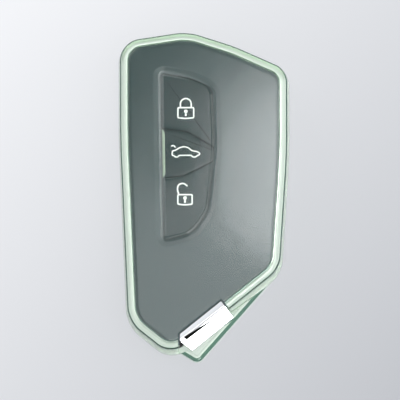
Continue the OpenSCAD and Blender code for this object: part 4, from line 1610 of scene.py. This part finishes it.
@dataclass
class Studio:
    """The floor, lamps, surroundings and camera."""

    plan: Plan
    image_side: float = 400.0
    pixel_mm: float = 0.2757
    centre_px: Point = (203.4, 196.4)
    tilt_down: float = 7.5
    tilt_right: float = 1.0
    lens: float = 290.0
    sensor: float = 36.0
    floor_side: float = 6.0
    room_colour: str = "#FBFCFF"
    room_side: Fade = Fade((-0.7, -0.1), (1.0, 0.8))
    room_height: Fade = Fade((0.72, 0.9))
    ceiling: Fade = Fade((0.16, 0.21), (1.28, 0.2))
    left_flank: Fade = Fade((-0.22, -0.07), (0.3, 1.0))
    right_flank: Fade = Fade((0.02, 0.14), (1.0, 0.6))
    flag_north: float = 0.1455
    flag_core: Fade = Fade((0.003, 0.014), (1.0, 0.12))
    flag_edge: Fade = Fade((0.023, 0.030), FALL)
    flag_left: Fade = Fade((-0.0325, -0.0300))
    flag_right: Fade = Fade((-0.0190, -0.0150), FALL)
    fan_slope: float = 0.47
    fan_low: Fade = Fade((0.112, 0.120))
    fan_high: Fade = Fade((0.150, 0.180), FALL)
    fan_start: Fade = Fade((-0.0155, -0.0095))
    fan_growth: Fade = Fade((-0.016, 0.012), (1.6, 3.4), soft=False)
    fan_end: Fade = Fade((0.04, 0.2), (1.0, 0.2))
    lamps: tuple[Lamp, ...] = (
        Lamp("overhead_bank", (0.3, -0.4, 1.1), (0.0, 0.0, 0.0), 0.9, 0.6, 2.0),
        Lamp("right_softbox", (0.75, 0.05, 0.5), (0.0, 0.0, 0.0), 0.5, 0.5, 1.2),
        Lamp("right_strip", (0.9, 0.0, 0.24), (0.0, 0.0, 0.0), 0.6, 0.14, 8.0),
        Lamp("left_bank", (-0.6, 0.55, 0.8), (0.0, 0.0, 0.0), 0.7, 0.7, 1.4),
        Lamp("corner_card", (0.5, -0.62, 0.06), (0.0, -0.03, 0.0), 0.8, 0.16, 9.0),
    )

    def build_floor(self) -> None:
        """Builds the pale floor that the cover lies on."""
        bpy.ops.object.select_all(action="DESELECT")
        bpy.ops.mesh.primitive_plane_add(size=self.floor_side)
        floor = bpy.context.active_object
        floor.name = floor.data.name = "studio_floor"
        with editing(floor):
            bpy.ops.mesh.subdivide(number_cuts=8)
        floor.data.materials.append(PANEL.material())

    def build_lamps(self) -> None:
        """Hangs the lamps. A lamp's power follows from its radiance and its area."""
        for lamp in self.lamps:
            light = bpy.data.lights.new(lamp.name, "AREA")
            light.shape = "RECTANGLE"
            light.size, light.size_y = lamp.width, lamp.height
            light.energy = lamp.radiance * lamp.width * lamp.height * math.pi
            light.color = linear(lamp.colour)[:3]
            holder = bpy.data.objects.new(lamp.name, light)
            holder.location = lamp.place
            aim = Vector(lamp.aim) - Vector(lamp.place)
            holder.rotation_euler = aim.to_track_quat("-Z", "Y").to_euler()
            bpy.context.scene.collection.objects.link(holder)

    def build_patch(
        self, tree: bpy.types.NodeTree, fades: Sequence[tuple[Source, Fade]]
    ) -> bpy.types.Node:
        """Adds a patch of light as the product of several fades.

        Args:
            tree: The node tree.
            fades: Each fade with what it follows.

        Returns:
            The node with the patch's strength.
        """
        patch = None
        for value, fade in fades:
            share = add(tree, "ShaderNodeMapRange", fade.way, fade.over(value))
            patch = add(tree, "ShaderNodeMath", TIMES, {0: patch, 1: share}) if patch is not None else share
        return patch

    def build_surroundings(self) -> None:
        """Surrounds the scene with soft light.

        Overhead is a dim ceiling, darker past a slanted line and towards the flanks, with a dark
        flag and one bright fan of light in it. Spans are slopes: x or y over height.
        """
        world = bpy.data.worlds.new("studio_room")
        bpy.context.scene.world = world
        world.use_nodes = True
        tree = world.node_tree
        tree.nodes.clear()
        way = add(tree, "ShaderNodeTexCoord").outputs["Generated"]
        split = add(tree, "ShaderNodeSeparateXYZ", {}, {"Vector": way}).outputs
        east = add(tree, "ShaderNodeMath", OVER, {0: split["X"], 1: split["Z"]})
        north = add(tree, "ShaderNodeMath", OVER, {0: split["Y"], 1: split["Z"]})
        corner = add(tree, "ShaderNodeMath", MINUS, {0: north, 1: east})
        off = add(tree, "ShaderNodeMath", MINUS, {0: north, 1: self.flag_north})
        off = add(tree, "ShaderNodeMath", {"operation": "ABSOLUTE"}, {0: off, 1: 0.0})
        widening = add(tree, "ShaderNodeMath", TIMES, {0: east, 1: self.fan_slope})
        below = add(tree, "ShaderNodeMath", PLUS, {0: north, 1: widening})
        above = add(tree, "ShaderNodeMath", MINUS, {0: north, 1: widening})
        ceiling, flag, fan = (self.build_patch(tree, fades) for fades in (
            ((corner, self.ceiling), (east, self.left_flank), (east, self.right_flank)),
            (
                (off, self.flag_core), (off, self.flag_edge),
                (east, self.flag_left), (east, self.flag_right),
            ),
            (
                (below, self.fan_low), (above, self.fan_high), (east, self.fan_start),
                (east, self.fan_growth), (east, self.fan_end),
            ),
        ))
        kept = add(tree, "ShaderNodeMath", MINUS, {0: 1.0, 1: flag})
        ceiling = add(tree, "ShaderNodeMath", TIMES, {0: ceiling, 1: kept})
        zenith = add(tree, "ShaderNodeMath", PLUS, {0: ceiling, 1: fan})
        side = self.build_patch(tree, ((split["X"], self.room_side),))
        height = self.build_patch(tree, ((split["Z"], self.room_height),))
        ends = {"Factor": height, "A": side, "B": zenith}
        glow = add(tree, "ShaderNodeMix", {"data_type": "FLOAT"}, ends)
        sky = {"Color": linear(self.room_colour), "Strength": glow}
        light = add(tree, "ShaderNodeBackground", {}, sky)
        add(tree, "ShaderNodeOutputWorld", {}, {"Surface": light})

    def build_camera(self) -> None:
        """Sets the camera over the face, a little from below and from the right."""
        data = bpy.data.cameras.new("camera")
        data.sensor_width = self.sensor
        data.lens = self.lens
        data.clip_start, data.clip_end = 0.01, 20.0
        camera = bpy.data.objects.new("camera", data)
        bpy.context.scene.collection.objects.link(camera)
        top = box("cover_front_shell")[1].z * MM
        middle = self.image_side / 2
        across = (middle - self.centre_px[0]) * self.pixel_mm + self.plan.shift.x
        along = (self.centre_px[1] - middle) * self.pixel_mm + self.plan.shift.y
        target = Vector((across * MM, along * MM, top))
        down, right = math.radians(self.tilt_down), math.radians(self.tilt_right)
        back = Vector((math.sin(right), -math.sin(down), math.cos(down) * math.cos(right))).normalized()
        sideways = Vector((0, 1, 0)).cross(back).normalized()
        upward = back.cross(sideways)
        turn = Matrix((sideways, upward, back)).transposed().to_4x4()
        far = self.lens / self.sensor * self.image_side * self.pixel_mm * MM
        camera.matrix_world = Matrix.Translation(target + back * far) @ turn
        bpy.context.scene.camera = camera

    def build(self) -> None:
        """Builds the studio."""
        self.build_floor()
        self.build_lamps()
        self.build_surroundings()
        self.build_camera()
        bpy.context.scene.view_settings.view_transform = "Standard"


def main() -> None:
    """Builds the object from the fob outwards, then the studio round it."""
    logging.basicConfig(level=logging.INFO, format="%(name)s: %(message)s")
    plan = Plan()
    key = EmergencyKey(plan)
    Innards().build()
    Fob(plan, key).build()
    Keypad(plan).build()
    key.build()
    Cover(plan, key).build()
    Studio(plan).build()


if __name__ == "__main__":
    main()
